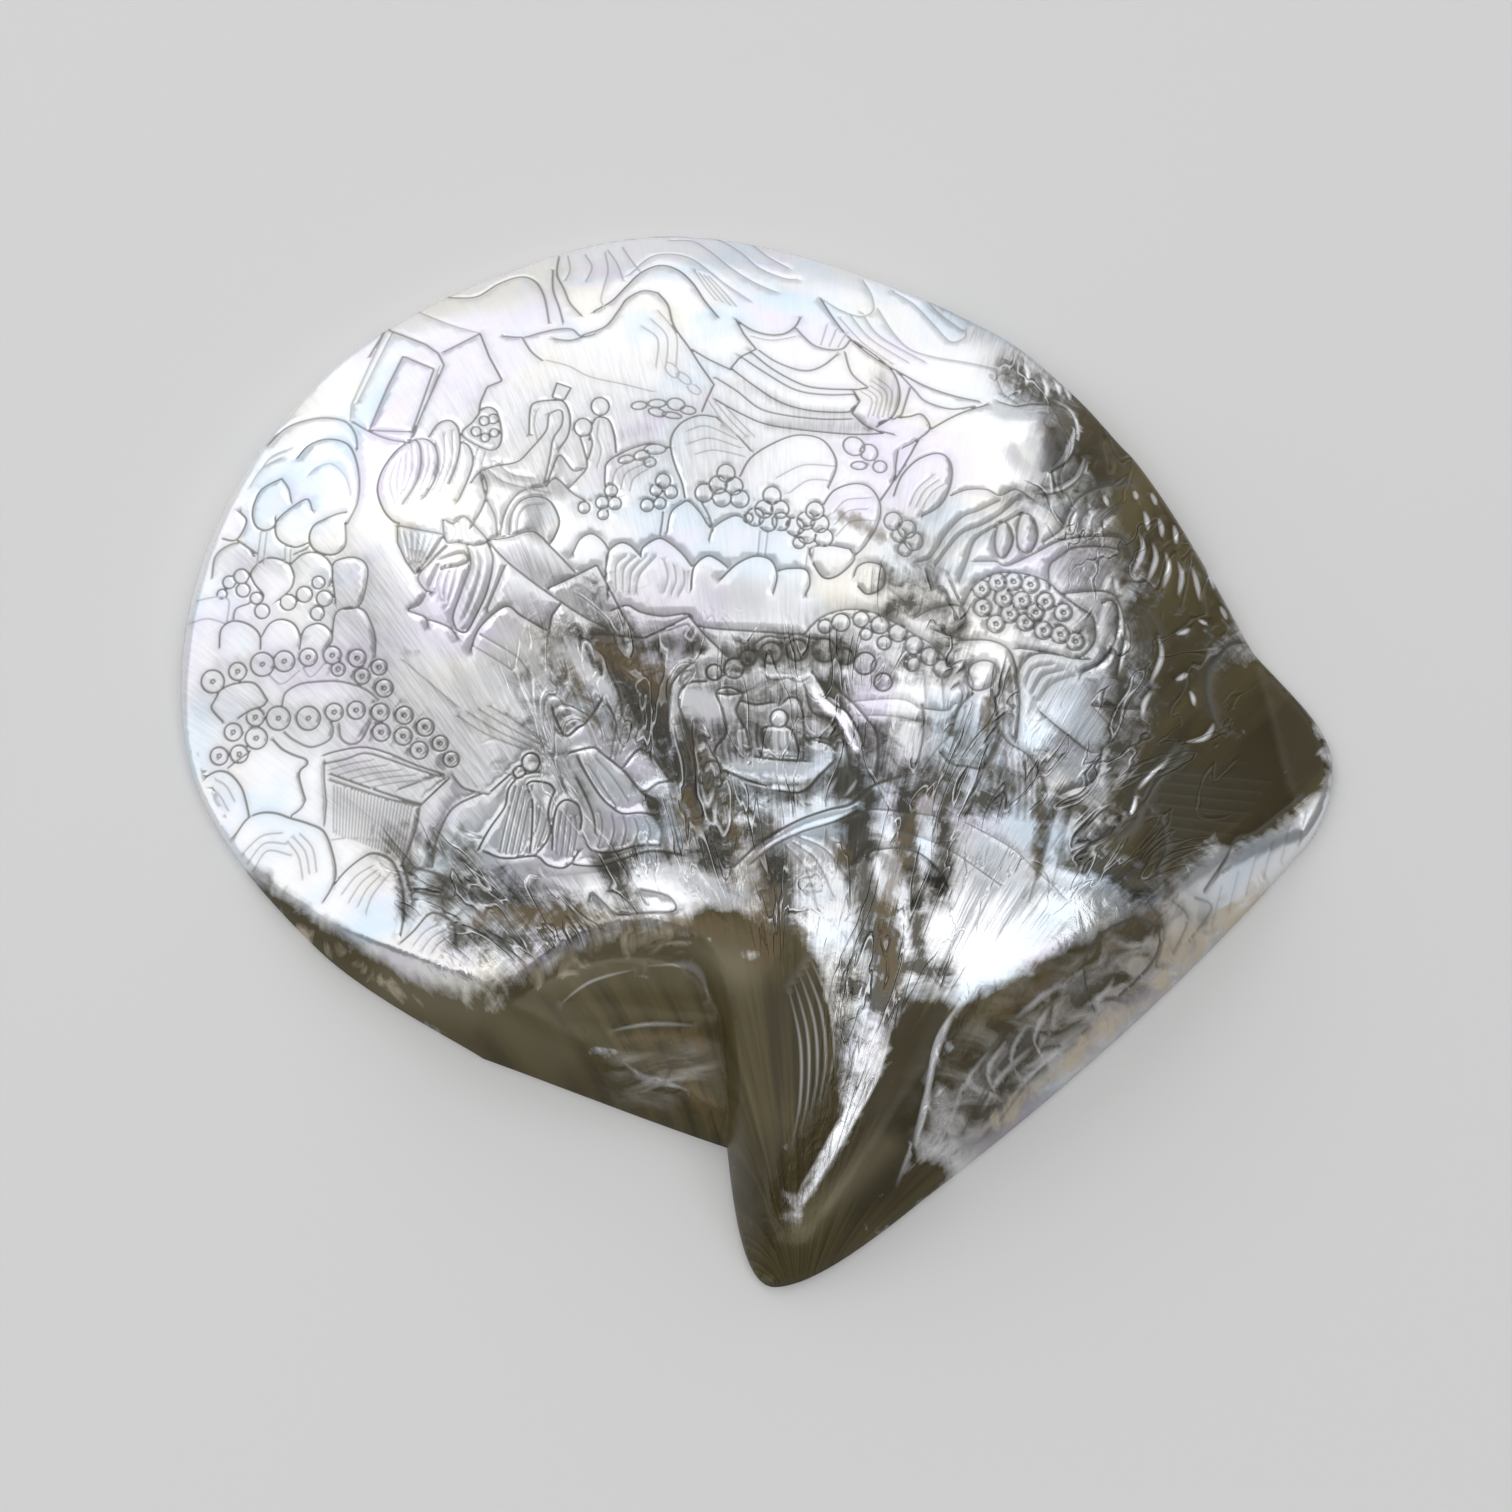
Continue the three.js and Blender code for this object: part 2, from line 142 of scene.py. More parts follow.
SHEEN = Style(0.03, 0.36, 0, 1, 0, 1, -0.3)
PIT = Style(0.30, 0.62, 0, 1, 0, 1, 1)
TRACE = Style(0.03, 0.24, 0, 1, 0, 1, 0.25)
BOLDER = 0.5  # grooves are this much wider where the painted shade and dark reflection lie
TAPER_END = 0.55  # share of its half width that a tapering stroke has at its ends

rad = math.radians


def mix(a, b, t):
    return a + (b - a) * t


def bezier(points, steps):
    t = np.linspace(0, 1, steps, endpoint=False)[:, None]
    p = np.array(points, float)
    return (1 - t) ** 3 * p[0] + 3 * (1 - t) ** 2 * t * p[1] + 3 * (1 - t) * t ** 2 * p[2] + t ** 3 * p[3]


def catmull(points, t):
    """A Catmull-Rom curve through the points, at shares t of the way."""
    p = np.array(points, float)
    last = len(p) - 1
    place = np.clip(t * last, 0, last - TINY)
    i = place.astype(int)
    w = (place - i)[:, None]
    p0, p1 = p[np.maximum(i - 1, 0)], p[i]
    p2, p3 = p[i + 1], p[np.minimum(i + 2, last)]
    v0, v1 = (p2 - p0) / 2, (p3 - p1) / 2
    return (2 * p1 - 2 * p2 + v0 + v1) * w ** 3 + (3 * p2 - 3 * p1 - 2 * v0 - v1) * w ** 2 + v0 * w + p1


def polar(entry):
    deg, radius = entry
    return (radius * math.cos(rad(deg)), radius * math.sin(rad(deg)))


MARGIN_START, MARGIN_END = polar(MARGIN[0]), polar(MARGIN[-1])


def round_margin(steps):
    return catmull([polar(entry) for entry in MARGIN], np.linspace(0, 1, steps, endpoint=False))


# A stretch of the outline, anticlockwise: its curve, and the slope of its wall in degrees and its rounding
# at both ends. The shelf is the height at which the ear's gentle slope meets its edge at both ends, and
# beyond a sunken stretch lies the ear
Stretch = namedtuple(
    "Stretch", "points steps slope rounding shelf sunken", defaults=((0, 0), (0, 0), False)
)
ROUND = Stretch(None, 92, (72, 70), (0.8, 1.5))
EAR_EDGE = Stretch([MARGIN_END, (-21, -73.6), (-6, -80.6), NOTCH], 16, (70, 66), shelf=(9, 4))
REST_OF_OUTLINE = [
    Stretch([NOTCH, (6, -92), (7.2, BEAK_TIP[1]), BEAK_TIP], 10, (84, 62), (11, 6)),
    Stretch([BEAK_TIP, (18, BEAK_TIP[1]), (27, -101), BEAK_SHOULDER], 11, (62, 58), (5, 3)),
    Stretch([BEAK_SHOULDER, (54.8, -75.7), (73.7, -56.2), HINGE_END], 34, (58, 63), (3, 2)),
    Stretch([HINGE_END, (93.4, -30.6), (WING_TIP[0], -25), WING_TIP], 8, (63, 66), (2, 2)),
    Stretch([WING_TIP, (WING_TIP[0], -12), (89.5, -6), WING_SHOULDER], 10, (66, 70), (2, 1.5)),
    Stretch([WING_SHOULDER, (80.8, 8.7), (72.4, 27.8), MARGIN_START], 16, (70, 72), (1.5, 0.8)),
]
EAR_LINE = [
    Stretch([MARGIN_END, (-26, -71.4), (-19, -63.4), EAR_CREST], 12, (70, 76), (1.5, 7), sunken=True),
    Stretch([EAR_CREST, (-2, -62.7), (3.2, -63.5), NOTCH], 16, (76, 84), (7, 11), sunken=True),
]
OUTLINE = [ROUND, EAR_EDGE, *REST_OF_OUTLINE]
BODY_FOOT = [ROUND, *EAR_LINE, *REST_OF_OUTLINE]


def sample(stretches, finer):
    """Points of a closed line, with the values of its walls."""
    columns = {"xy": [], "slope": [], "rounding": [], "shelf": [], "sunken": []}
    for part in stretches:
        count = part.steps * finer
        t = np.linspace(0, 1, count, endpoint=False)
        columns["xy"].append(bezier(part.points, count) if part.points else round_margin(count))
        for key in ("slope", "rounding", "shelf"):
            columns[key].append(mix(*getattr(part, key), t))
        columns["sunken"].append(np.full(count, part.sunken))
    return {key: np.concatenate(value) for key, value in columns.items()}


def nearest(line, xy, chunk=4000):
    """Signed distance to a closed line, positive inside, with the line's values at the nearest place."""
    a = line["xy"]
    b = np.roll(a, -1, axis=0)
    e = b - a
    length2 = (e ** 2).sum(1)
    found = []
    for start in range(0, len(xy), chunk):
        p = xy[start:start + chunk]
        dx = p[:, :1] - a[:, 0]
        dy = p[:, 1:] - a[:, 1]
        t = np.clip((dx * e[:, 0] + dy * e[:, 1]) / length2, 0, 1)
        d2 = (dx - t * e[:, 0]) ** 2 + (dy - t * e[:, 1]) ** 2
        i = d2.argmin(1)
        rows = np.arange(len(p))
        crosses = (a[:, 1] > p[:, 1:]) != (b[:, 1] > p[:, 1:])
        with np.errstate(divide="ignore", invalid="ignore"):
            left = dx < dy / e[:, 1] * e[:, 0]
        inside = (crosses & left).sum(1) % 2 == 1
        j = (i + 1) % len(a)
        share = t[rows, i]
        values = {key: line[key][i] for key in ("shelf", "sunken")}
        values.update({key: mix(line[key][i], line[key][j], share) for key in ("slope", "rounding")})
        values["distance"] = np.sqrt(d2[rows, i]) * np.where(inside, 1, -1)
        found.append(values)
    return {key: np.concatenate([values[key] for values in found]) for key in found[0]}


def fillet_min(a, b, radius):
    """The lower of two heights, with a fillet of about the given radius where they meet."""
    h = np.clip(0.5 + 0.5 * (b - a) / radius, 0, 1)
    return b + (a - b) * h - radius * h * (1 - h)


def bell(deg, centre, spread):
    turn = (deg - centre + 180) % 360 - 180
    return np.exp(-(turn / spread) ** 2)


def dome(x, y):
    dx, dy = x - DOME_APEX[0], y - DOME_APEX[1]
    deg = np.degrees(np.arctan2(dy, dx))
    reach = REACH + HINGE_REACH * bell(deg, HINGE_REACH_DEG, HINGE_REACH_SPREAD_DEG)
    reach = reach - THIN_SIDE_REACH * bell(deg, THIN_SIDE_DEG, THIN_SIDE_SPREAD_DEG)
    fall = (DOME_HEIGHT - MARGIN_HEIGHT) * (np.hypot(dx, dy) / reach) ** DOME_POWER
    return np.maximum(DOME_HEIGHT - fall, LEAST_HEIGHT)


def along_path(xy, path):
    """Distance of each point from a path of straight pieces, and how far along the nearest place is."""
    path = np.array(path, float)
    best = np.full(len(xy), np.inf)
    along = np.zeros(len(xy))
    spans = len(path) - 1
    for i in range(spans):
        e = path[i + 1] - path[i]
        t = np.clip(((xy - path[i]) @ e) / (e @ e), 0, 1)
        d = np.linalg.norm(xy - path[i] - t[:, None] * e, axis=1)
        nearer = d < best
        best[nearer] = d[nearer]
        along[nearer] = (i + t[nearer]) / spans
    return best, along


# Ridges and furrows of the whole valve: path, height at its two ends, half width
FOLDS = {
    "ridge beside the ear": ([(6, -60), (11.5, -72), (12, -86), (11.5, -100)], (0.4, 2), 5),
    "furrow of the beak": ([(22, -56), (25.5, -72), (23, -86), (15.5, -99.5)], (-0.3, -3.6), 3.6),
    "ridge beside the hinge": ([(42, -60), (36, -74), (30.5, -86), (21, -101)], (0.3, 2), 3),
    "groove at the hinge": ([(50, -64), (38.7, -76.4), (35.4, -85.7), (32, -94)], (-0.4, -1.8), 1.6),
    "ledge on the ear": ([(-24, -67), (-8, -68.5), (3.5, -70)], (0.2, 1.3), 2),
    "crease across the face": ([(-26, -4), (-12, -20), (-2, -34), (5, -48)], (0, -1), 5),
    "swell beside the crease": ([(-14, 6), (4, -16), (14, -32)], (0, 0.6), 7),
    "blister at the far side": ([(48, 32), (52, 33)], (2, 2.6), 5.5),
    "blister near the beak": ([(28, -49), (34, -52)], (1.3, 1.6), 4.6),
}


def folds(xy):
    total = np.zeros(len(xy))
    for path, height, width in FOLDS.values():
        distance, along = along_path(xy, path)
        total += mix(*height, along) * np.exp(-(distance / width) ** 2)
    return total


OUTLINE_FINE = sample(OUTLINE, MEASURED_FINER)
FOOT_FINE = sample(BODY_FOOT, MEASURED_FINER)


def wall_height(foot):
    return WALL_FOOT + foot["distance"] * np.tan(np.radians(foot["slope"]))


def outer_height(xy):
    """Height of the outer side over points of the plan, without the engraving."""
    foot = nearest(FOOT_FINE, xy)
    relief = folds(xy)
    ramp = BEAK_RAMP_START + BEAK_RAMP_SLOPE * xy[:, 1]
    shape = fillet_min(dome(xy[:, 0], xy[:, 1]), ramp, BEAK_RAMP_FILLET) + relief
    height = np.maximum(fillet_min(shape, wall_height(foot), foot["rounding"]), WALL_FOOT)
    ear = np.nonzero(foot["sunken"])[0]
    edge = nearest(OUTLINE_FINE, xy[ear])
    slope = edge["shelf"] + edge["distance"] * math.tan(rad(EAR_SLOPE_DEG))
    shelf = fillet_min(slope, EAR_TOP, EAR_FILLET) + relief[ear]
    height[ear] = np.maximum(height[ear], fillet_min(wall_height(edge), shelf, EAR_FILLET))
    return height


def grid_points(xs, ys, stagger=0):
    """Points of a grid in the plan, every second row moved along by the stagger."""
    gx, gy = np.meshgrid(xs, ys, indexing="ij")
    gx = gx + stagger * (np.arange(len(ys)) % 2)
    return np.stack([gx.ravel(), gy.ravel()], 1)


class HeightMap:
    """The outer side's heights and slopes on a grid, for quick reading."""

    def __init__(self, low, high):
        self.low = np.array(low, float) - MAP_STEP
        self.count = np.ceil((np.array(high) + 2 * MAP_STEP - self.low) / MAP_STEP).astype(int)
        xs, ys = (self.low[k] + MAP_STEP * np.arange(self.count[k]) for k in (0, 1))
        self.height = outer_height(grid_points(xs, ys)).reshape(self.count)
        self.slope_x, self.slope_y = np.gradient(self.height, MAP_STEP)

    def read(self, grid, xy):
        place = np.clip((xy - self.low) / MAP_STEP, 0, self.count - WITHIN_CELL)
        i = place.astype(int)
        f = place - i
        a = mix(grid[i[:, 0], i[:, 1]], grid[i[:, 0] + 1, i[:, 1]], f[:, 0])
        b = mix(grid[i[:, 0], i[:, 1] + 1], grid[i[:, 0] + 1, i[:, 1] + 1], f[:, 0])
        return mix(a, b, f[:, 1])

    def heights(self, xy):
        return self.read(self.height, xy)

    def slopes(self, xy):
        return np.stack([self.read(self.slope_x, xy), self.read(self.slope_y, xy)], 1)


outline_low, outline_high = OUTLINE_FINE["xy"].min(0), OUTLINE_FINE["xy"].max(0)
surface = HeightMap(outline_low, outline_high)
# From the centre of the round margin to the part's own origin
SHIFT = np.array([cad_low.x, cad_low.y]) / MM - outline_low

# The camera's axes, and the point that it looks at
elevation = rad(ELEVATION_DEG)
BACK = np.array([0, -math.cos(elevation), math.sin(elevation)])
UP = np.array([0, math.sin(elevation), math.cos(elevation)])
RIGHT = np.array([1.0, 0, 0])
MIDDLE = PHOTO_SIDE / 2
TARGET = (MIDDLE - DISC_CENTRE_PIXEL[0]) * PIXEL * RIGHT + (DISC_CENTRE_PIXEL[1] - MIDDLE) * PIXEL * UP
CAMERA = TARGET + CAMERA_DISTANCE * BACK


def on_valve(pixels, rounds=26, damping=0.5):
    """Where the outer side shows at pixels of the photograph, as points of the plan."""
    pixels = np.asarray(pixels, float)
    share = PIXEL / CAMERA_DISTANCE
    ray = -BACK + (pixels[:, :1] - MIDDLE) * share * RIGHT + (MIDDLE - pixels[:, 1:]) * share * UP
    z = np.full(len(pixels), DOME_HEIGHT / 2)
    for _ in range(rounds):
        xy = CAMERA[:2] + ray[:, :2] * ((z - CAMERA[2]) / ray[:, 2])[:, None]
        z += damping * (surface.heights(xy) - z)
    return xy


def even(points, step):
    """The same line with its points a step apart."""
    gaps = np.linalg.norm(np.diff(points, axis=0), axis=1)
    place = np.concatenate([[0], np.cumsum(gaps)])
    count = max(2, int(round(place[-1] / step)) + 1)
    at = np.linspace(0, place[-1], count)
    return np.stack([np.interp(at, place, points[:, k]) for k in (0, 1)], 1)


def smooth(*points):
    """A curve through a few pixels."""
    spans = len(points) - 1
    return catmull(points, np.linspace(0, 1, spans * CURVE_STEPS + 1))


def curved(style, *points):
    return [(smooth(*points), style)]


def straight(style, *points):
    return [(np.array(points, float), style)]


# The last two kinds of line are painted highlights, as are the glints, gleams and sheens below
cut, hair, form, ledge, glint_stroke, sheen = (
    partial(curved, style) for style in (LINE, FAINT, FORM, STEP, GLINT, SHEEN)
)
ruled, ruled_hair, block = (partial(straight, style) for style in (LINE, FAINT, FORM))


def closed(*points):
    """A closed curve, its points clockwise in the photograph."""
    ends = smooth(*points[-2:], *points, *points[:3])
    return [(ends[2 * CURVE_STEPS:-2 * CURVE_STEPS], FORM)]


def hatch(first, last, count, style=FAINT):
    """Strokes in even steps from one curve to another with as many points."""
    first, last = np.array(first, float), np.array(last, float)
    return [(smooth(*mix(first, last, t)), style) for t in np.linspace(0, 1, count)]


glints, gleams, sheens = (partial(hatch, style=style) for style in (GLINT, GLEAM, SHEEN))


def oval(x, y, radius_x, radius_y, turn_deg=0):
    """A closed oval, turned clockwise in the photograph."""
    turn = np.linspace(0, 2 * math.pi, RING_STEPS + 1)
    a, b = radius_x * np.cos(turn), radius_y * np.sin(turn)
    c, s = math.cos(rad(turn_deg)), math.sin(rad(turn_deg))
    return np.stack([x + a * c - b * s, y + a * s + b * c], 1)


def discs(*ovals, style=LINE):
    """Flat ovals, each with its centre, its two radii and its turn if it has one."""
    return [(oval(*disc), style) for disc in ovals]


def bead(x, y, radius=BEAD_RADIUS, style=BEAD):
    return oval(x, y, radius, radius), style


def beads(*circles):
    """Round beads, each with its centre and its radius if that isn't the usual one."""
    return [bead(*circle) for circle in circles]


def pierced(*circles):
    """Beads with a pit in the middle."""
    return beads(*circles) + [bead(x, y, PIT_RADIUS, LINE) for x, y, *_ in circles]


UPPER_LEFT = {
    "gable": ruled((370, 356), (386, 329), (425, 344), (438, 353), (444, 365), (410, 441)),
    "gable, inner edge": ruled_hair((440, 366), (414, 437)),
    "panel": ruled((403, 356), (434, 369), (412, 432), (369, 430), (388, 385), (403, 356)),
    "floor": cut((352, 421), (369, 431), (388, 439), (410, 443)),
    "left wall": ruled_hair((386, 330), (351, 404), (350, 420)),
    "left wall, second line": ruled_hair((392, 334), (357, 402)),
    "eaves": hair((419, 312), (451, 325), (480, 333)),
    "side of the roof": ruled((445, 351), (480, 333)),
    "end of the roof": block((480, 333), (489, 356), (502, 380), (487, 386), (480, 402), (479, 412)),
    "cloud": cut((449, 297), (476, 296), (498, 283), (520, 276), (535, 281), (544, 296), (549, 322)),
    "rain 1": cut((553, 270), (553, 289), (559, 307), (563, 322)),
    "rain 2": cut((559, 257), (557, 274), (564, 289), (570, 303), (581, 315)),
    "rain 3": hair((568, 256), (570, 270), (566, 279)),
    "rain 4": hair((586, 256), (592, 267), (586, 281)),
    "rain 5": hair((605, 252), (608, 270), (604, 286), (601, 300), (605, 307)),
    "rain 6": hair((608, 250), (617, 263), (623, 279)),
    "rain 7": hair((623, 248), (632, 261), (640, 271)),
    "low cloud": cut((504, 336), (524, 337), (539, 333), (557, 329), (572, 329), (581, 336), (594, 334)),
    "low cloud, under": cut((557, 339), (570, 340), (581, 337)),
    "low cloud, foot": cut((522, 337), (531, 351), (542, 360)),
    "edge of the field": hair((546, 360), (568, 366), (590, 377), (623, 384), (652, 391)),
}
MOUNTAIN = {
    "upper ridge": ledge(
        (595, 310), (612, 300), (627, 285), (641, 272), (660, 265), (678, 270), (693, 283), (704, 299),
        (718, 316),
    ),
    "ridge shade": hatch([(695, 272), (706, 288), (716, 300)], [(708, 276), (722, 290), (736, 306)], 4),
    "wave 1": hair((630, 274), (649, 258), (667, 254), (689, 258), (707, 270), (726, 285), (750, 301)),
    "wave 2": hair((672, 240), (693, 241), (711, 252), (729, 267), (751, 281), (774, 291)),
    "wave 3": hair((705, 238), (722, 241), (740, 252), (759, 268), (784, 278), (797, 279)),
    "wave 4": hair((735, 240), (752, 245), (768, 257), (788, 268)),
    "left slope": form((581, 335), (605, 326), (619, 309), (627, 298), (643, 290), (658, 292)),
    "right slope": ledge((658, 292), (668, 304), (674, 325), (689, 347), (700, 364), (714, 384)),
    "foot": block((714, 384), (707, 399), (702, 411)),
    "folds": hatch([(645, 328), (658, 340), (656, 366)], [(658, 310), (676, 334), (676, 366)], 3),
    "pebbles": discs((672, 370, 5, 9, -40), (684, 378, 4, 9, -50), (694, 389, 4, 8, -55), style=FAINT),
}
PAVILION = {
    "left eaves": form((689, 347), (707, 358), (730, 369)),
    "left gable": block((730, 369), (740, 357), (756, 349), (744, 334), (736, 319)),
    "ridge": form((736, 319), (751, 329), (768, 334), (784, 333), (795, 326), (800, 318)),
    "ridge end": cut((795, 326), (804, 336), (815, 345), (830, 349), (843, 348), (850, 340)),
    "posts": hatch([(821, 344), (827, 325)], [(838, 347), (846, 333)], 3),
    "under the ridge": hair((751, 336), (772, 340), (795, 336)),
    "hanging curve": cut((757, 349), (777, 362), (803, 370), (821, 366), (836, 355)),
    "tier 1": form((750, 351), (773, 369), (803, 384), (828, 388), (858, 389)),
    "tier 1, under": cut((740, 356), (764, 372), (795, 389), (825, 394), (854, 394)),
    "tier 2": form((731, 368), (755, 386), (781, 402), (810, 410), (843, 412), (854, 410)),
    "tier 2, under": cut((715, 377), (737, 391), (759, 408), (784, 415), (821, 419), (850, 419)),
    "tier 3": form((715, 399), (740, 413), (766, 424), (803, 430), (850, 434), (883, 433)),
    "right end": block((854, 391), (860, 400), (852, 413), (863, 424), (883, 433)),
    "hill": hatch([(708, 400), (722, 420), (736, 434)], [(722, 403), (738, 420), (754, 436)], 3),
    "far ridge": form(
        (821, 298), (833, 317), (849, 337), (874, 357), (898, 371), (926, 386), (955, 396), (979, 401),
    ),
    "sweep 1": hair((821, 298), (841, 310), (861, 316), (873, 310), (872, 296), (863, 281)),
    "sweep 2": hair((878, 308), (894, 333), (910, 349), (935, 357), (970, 363), (996, 369)),
    "sweep 3": hair((894, 292), (914, 304), (935, 325), (951, 341), (965, 337), (966, 329)),
    "sweep 4": hair((930, 304), (943, 316), (963, 330)),
    "sweeps": hatch([(862, 312), (880, 336), (925, 362)], [(840, 318), (862, 342), (890, 362)], 3),
    "far side": form((855, 341), (878, 357), (894, 373), (900, 394), (894, 414), (878, 426)),
    "far side, inner": cut((845, 352), (852, 373), (868, 387)),
    "bracket": block((868, 387), (853, 390), (859, 402), (850, 410), (869, 428), (894, 434)),
    "far shade": hatch([(862, 392), (872, 400), (868, 416)], [(880, 380), (892, 392), (888, 416)], 5),
    "far post": ruled((910, 388), (902, 414), (894, 419)),
    "far eaves": cut((898, 372), (914, 389), (926, 401), (951, 409), (975, 406)),
    "far wall": hair((996, 369), (998, 382), (1004, 394), (1016, 402)),
    "low rock": form((878, 425), (884, 420), (910, 416), (922, 414), (930, 428), (918, 439), (903, 447)),
}
FIGURES_ABOVE = {
    "hat": block((557, 383), (571, 388), (564, 400), (552, 397), (557, 383)),
    "first robe": form(
        (529, 433), (530, 410), (535, 402), (553, 400), (564, 402), (570, 417), (568, 435), (561, 446),
    ),
    "first sleeve": cut((550, 413), (561, 410), (562, 424), (553, 439), (550, 457), (544, 483)),
    "first hem": ledge((480, 470), (495, 465), (517, 461), (531, 448), (546, 430), (548, 417)),
    "first shade": hair((536, 412), (534, 424), (537, 438)),
    "heads": beads((583, 427, 9), (600, 406, 9)),
    "second robe": cut((580, 437), (584, 450), (587, 466), (578, 478), (568, 488)),
    "second robe, right": cut((590, 433), (592, 445), (586, 465)),
    "second hem": cut((546, 486), (556, 478), (572, 492), (585, 500)),
    "third robe": form((589, 440), (592, 425), (597, 417), (608, 419), (614, 434), (616, 452)),
    "third fold": hair((599, 422), (597, 436), (601, 450), (597, 466)),
    "basket": cut((546, 486), (552, 470), (560, 455), (573, 470), (584, 468)),
}
FAN_PLANT = {
    "outer leaf": ledge(
        (399, 523), (392, 520), (383, 509), (377, 490), (381, 472), (392, 455), (403, 445), (414, 440),
    ),
    "leaf 1": form((408, 440), (417, 441), (421, 452), (420, 470), (413, 487), (403, 502)),
    "leaf 2": form((414, 440), (425, 439), (435, 446), (438, 462), (434, 480), (424, 496)),
    "leaf 3": form((429, 437), (438, 424), (449, 420), (458, 428), (460, 446), (456, 465), (449, 482)),
    "leaf 4": form((460, 441), (469, 446), (473, 460), (468, 478), (458, 500)),
    "leaf 5": form((471, 482), (480, 472), (487, 487), (482, 508), (470, 528)),
    "veins 1": hatch([(396, 462), (389, 482), (394, 502)], [(412, 447), (412, 468), (404, 490)], 4),
    "veins 2": hatch([(428, 446), (429, 464), (420, 488)], [(452, 432), (452, 460), (440, 490)], 4),
    "pod": closed(
        (462, 434), (473, 421), (484, 407), (495, 409), (500, 422), (501, 440), (494, 449), (480, 446),
    ),
    "bumps": beads((476, 431, 5), (484, 420, 5), (493, 418, 5), (494, 432, 4.5), (485, 437, 4.5)),
    "stalk": hatch([(478, 448), (473, 462)], [(486, 449), (481, 466)], 2),
}
FAN = {
    "blade": block((397, 525), (444, 534), (430, 556), (415, 574), (405, 560), (397, 542), (397, 525)),
    "blade ribs": hatch([(403, 530), (410, 564)], [(432, 536), (420, 564)], 5),
    "knot": closed(
        (443, 520), (453, 523), (464, 516), (473, 524), (487, 540), (476, 545), (458, 542), (446, 541),
    ),
    "knot folds": hatch([(452, 523), (456, 531), (452, 540)], [(466, 521), (466, 532), (472, 541)], 3),
    "ribbon, left": form((456, 629), (453, 616), (461, 592), (470, 565), (467, 545)),
    "ribbon, right": form((487, 541), (493, 560), (487, 590), (476, 615), (466, 632), (456, 629)),
    "ribbon, shade": hair((477, 548), (481, 566), (474, 594), (464, 618)),
    "left ribbon": form((447, 546), (431, 561), (418, 576), (423, 588), (430, 592)),
    "left band": cut((440, 559), (463, 553), (466, 563), (441, 569)),
    "left leaf": cut((438, 564), (429, 586), (420, 604), (408, 610), (425, 617), (428, 626)),
    "left leaf, under": cut((428, 619), (449, 627), (458, 638)),
    "left leaf, veins": hatch([(445, 566), (438, 584), (441, 600)], [(457, 566), (454, 584), (447, 606)], 3),
}
ROOFS = {
    "arch": ledge(
        (509, 534), (511, 516), (520, 501), (535, 496), (550, 501), (559, 520), (554, 537), (549, 544),
    ),
    "arch, inner": hair((517, 532), (519, 516), (527, 506), (540, 504)),
    "awning": cut((480, 470), (485, 494), (495, 516), (497, 534)),
    "awning folds": hatch([(489, 470), (505, 482), (545, 492)], [(494, 460), (512, 474), (534, 478)], 2),
    "awning, side": cut((500, 534), (504, 516), (512, 500), (524, 490), (545, 486)),
    "first ridge": ledge((487, 540), (509, 537), (533, 531), (553, 549), (575, 572)),
    "first eaves": ledge((487, 540), (506, 560), (528, 578), (553, 596), (580, 614), (606, 628)),
    "first wall": ruled((505, 566), (487, 608)),
    "first wall, right": ruled((549, 632), (552, 615), (560, 604)),
    "second roof": block((548, 588), (575, 576), (597, 565), (608, 586), (623, 615), (634, 632)),
    "branch": form((471, 649), (480, 627), (505, 606), (522, 616), (546, 630)),
    "planks": hatch([(480, 634), (516, 656), (528, 671)], [(472, 645), (508, 667), (518, 680)], 2),
    "third roof": block((597, 634), (645, 638), (689, 616), (704, 634), (727, 656)),
    "third roof, under": ruled_hair((620, 645), (688, 624), (698, 640)),
    "terrace": cut(
        (612, 610), (627, 605), (641, 612), (663, 616), (689, 614), (700, 626), (751, 631), (803, 634),
    ),
}
TREES = {
    "beads 1": beads((584, 507, 6), (602, 502, 6.5), (615, 503, 6.5), (611, 490, 6.5), (603, 514, 5.5)),
    "beads 2": beads((663, 481, 7.5), (656, 490, 6), (671, 492, 6.5), (647, 505, 6.5), (660, 503, 6)),
    "beads 3": beads((726, 473), (718, 485), (734, 486), (704, 493), (722, 498), (740, 499)),
    "trunk 3": cut((702, 503), (709, 516), (713, 529)),
    "trunk 3, right": cut((709, 540), (714, 527), (733, 516), (744, 518)),
    "beads 4": beads((772, 495), (764, 509), (780, 509), (755, 517), (768, 522), (781, 521), (748, 518, 5)),
    "trunk 4": hatch([(760, 531), (758, 554)], [(768, 531), (765, 554)], 2),
    "beads 5": beads((815, 510), (806, 520), (820, 523), (795, 526), (807, 534), (824, 537), (799, 542, 6)),
    "trunk 5": hatch([(808, 547), (806, 565)], [(814, 547), (812, 564)], 2),
    "lawn": discs(
        (639, 405, 8, 4, -5), (657, 403, 9, 4), (676, 404, 9, 6, 10), (657, 412, 9, 4, 15),
        (688, 410, 8, 4, 8), (672, 415, 10, 3, 10),
    ),
    "hedge": discs((854, 446, 11, 9, 20), (869, 452, 9, 8, 20), (880, 466, 7, 6), (859, 465, 8, 4)),
    "shrubs": discs((655, 449, 11, 5), (642, 455, 8, 5, -10), (626, 459, 8, 4, -10), (650, 462, 6, 5)),
    "leaf beads 3": beads((893, 521), (907, 529), (914, 541), (899, 535, 7), (905, 549, 7)),
}
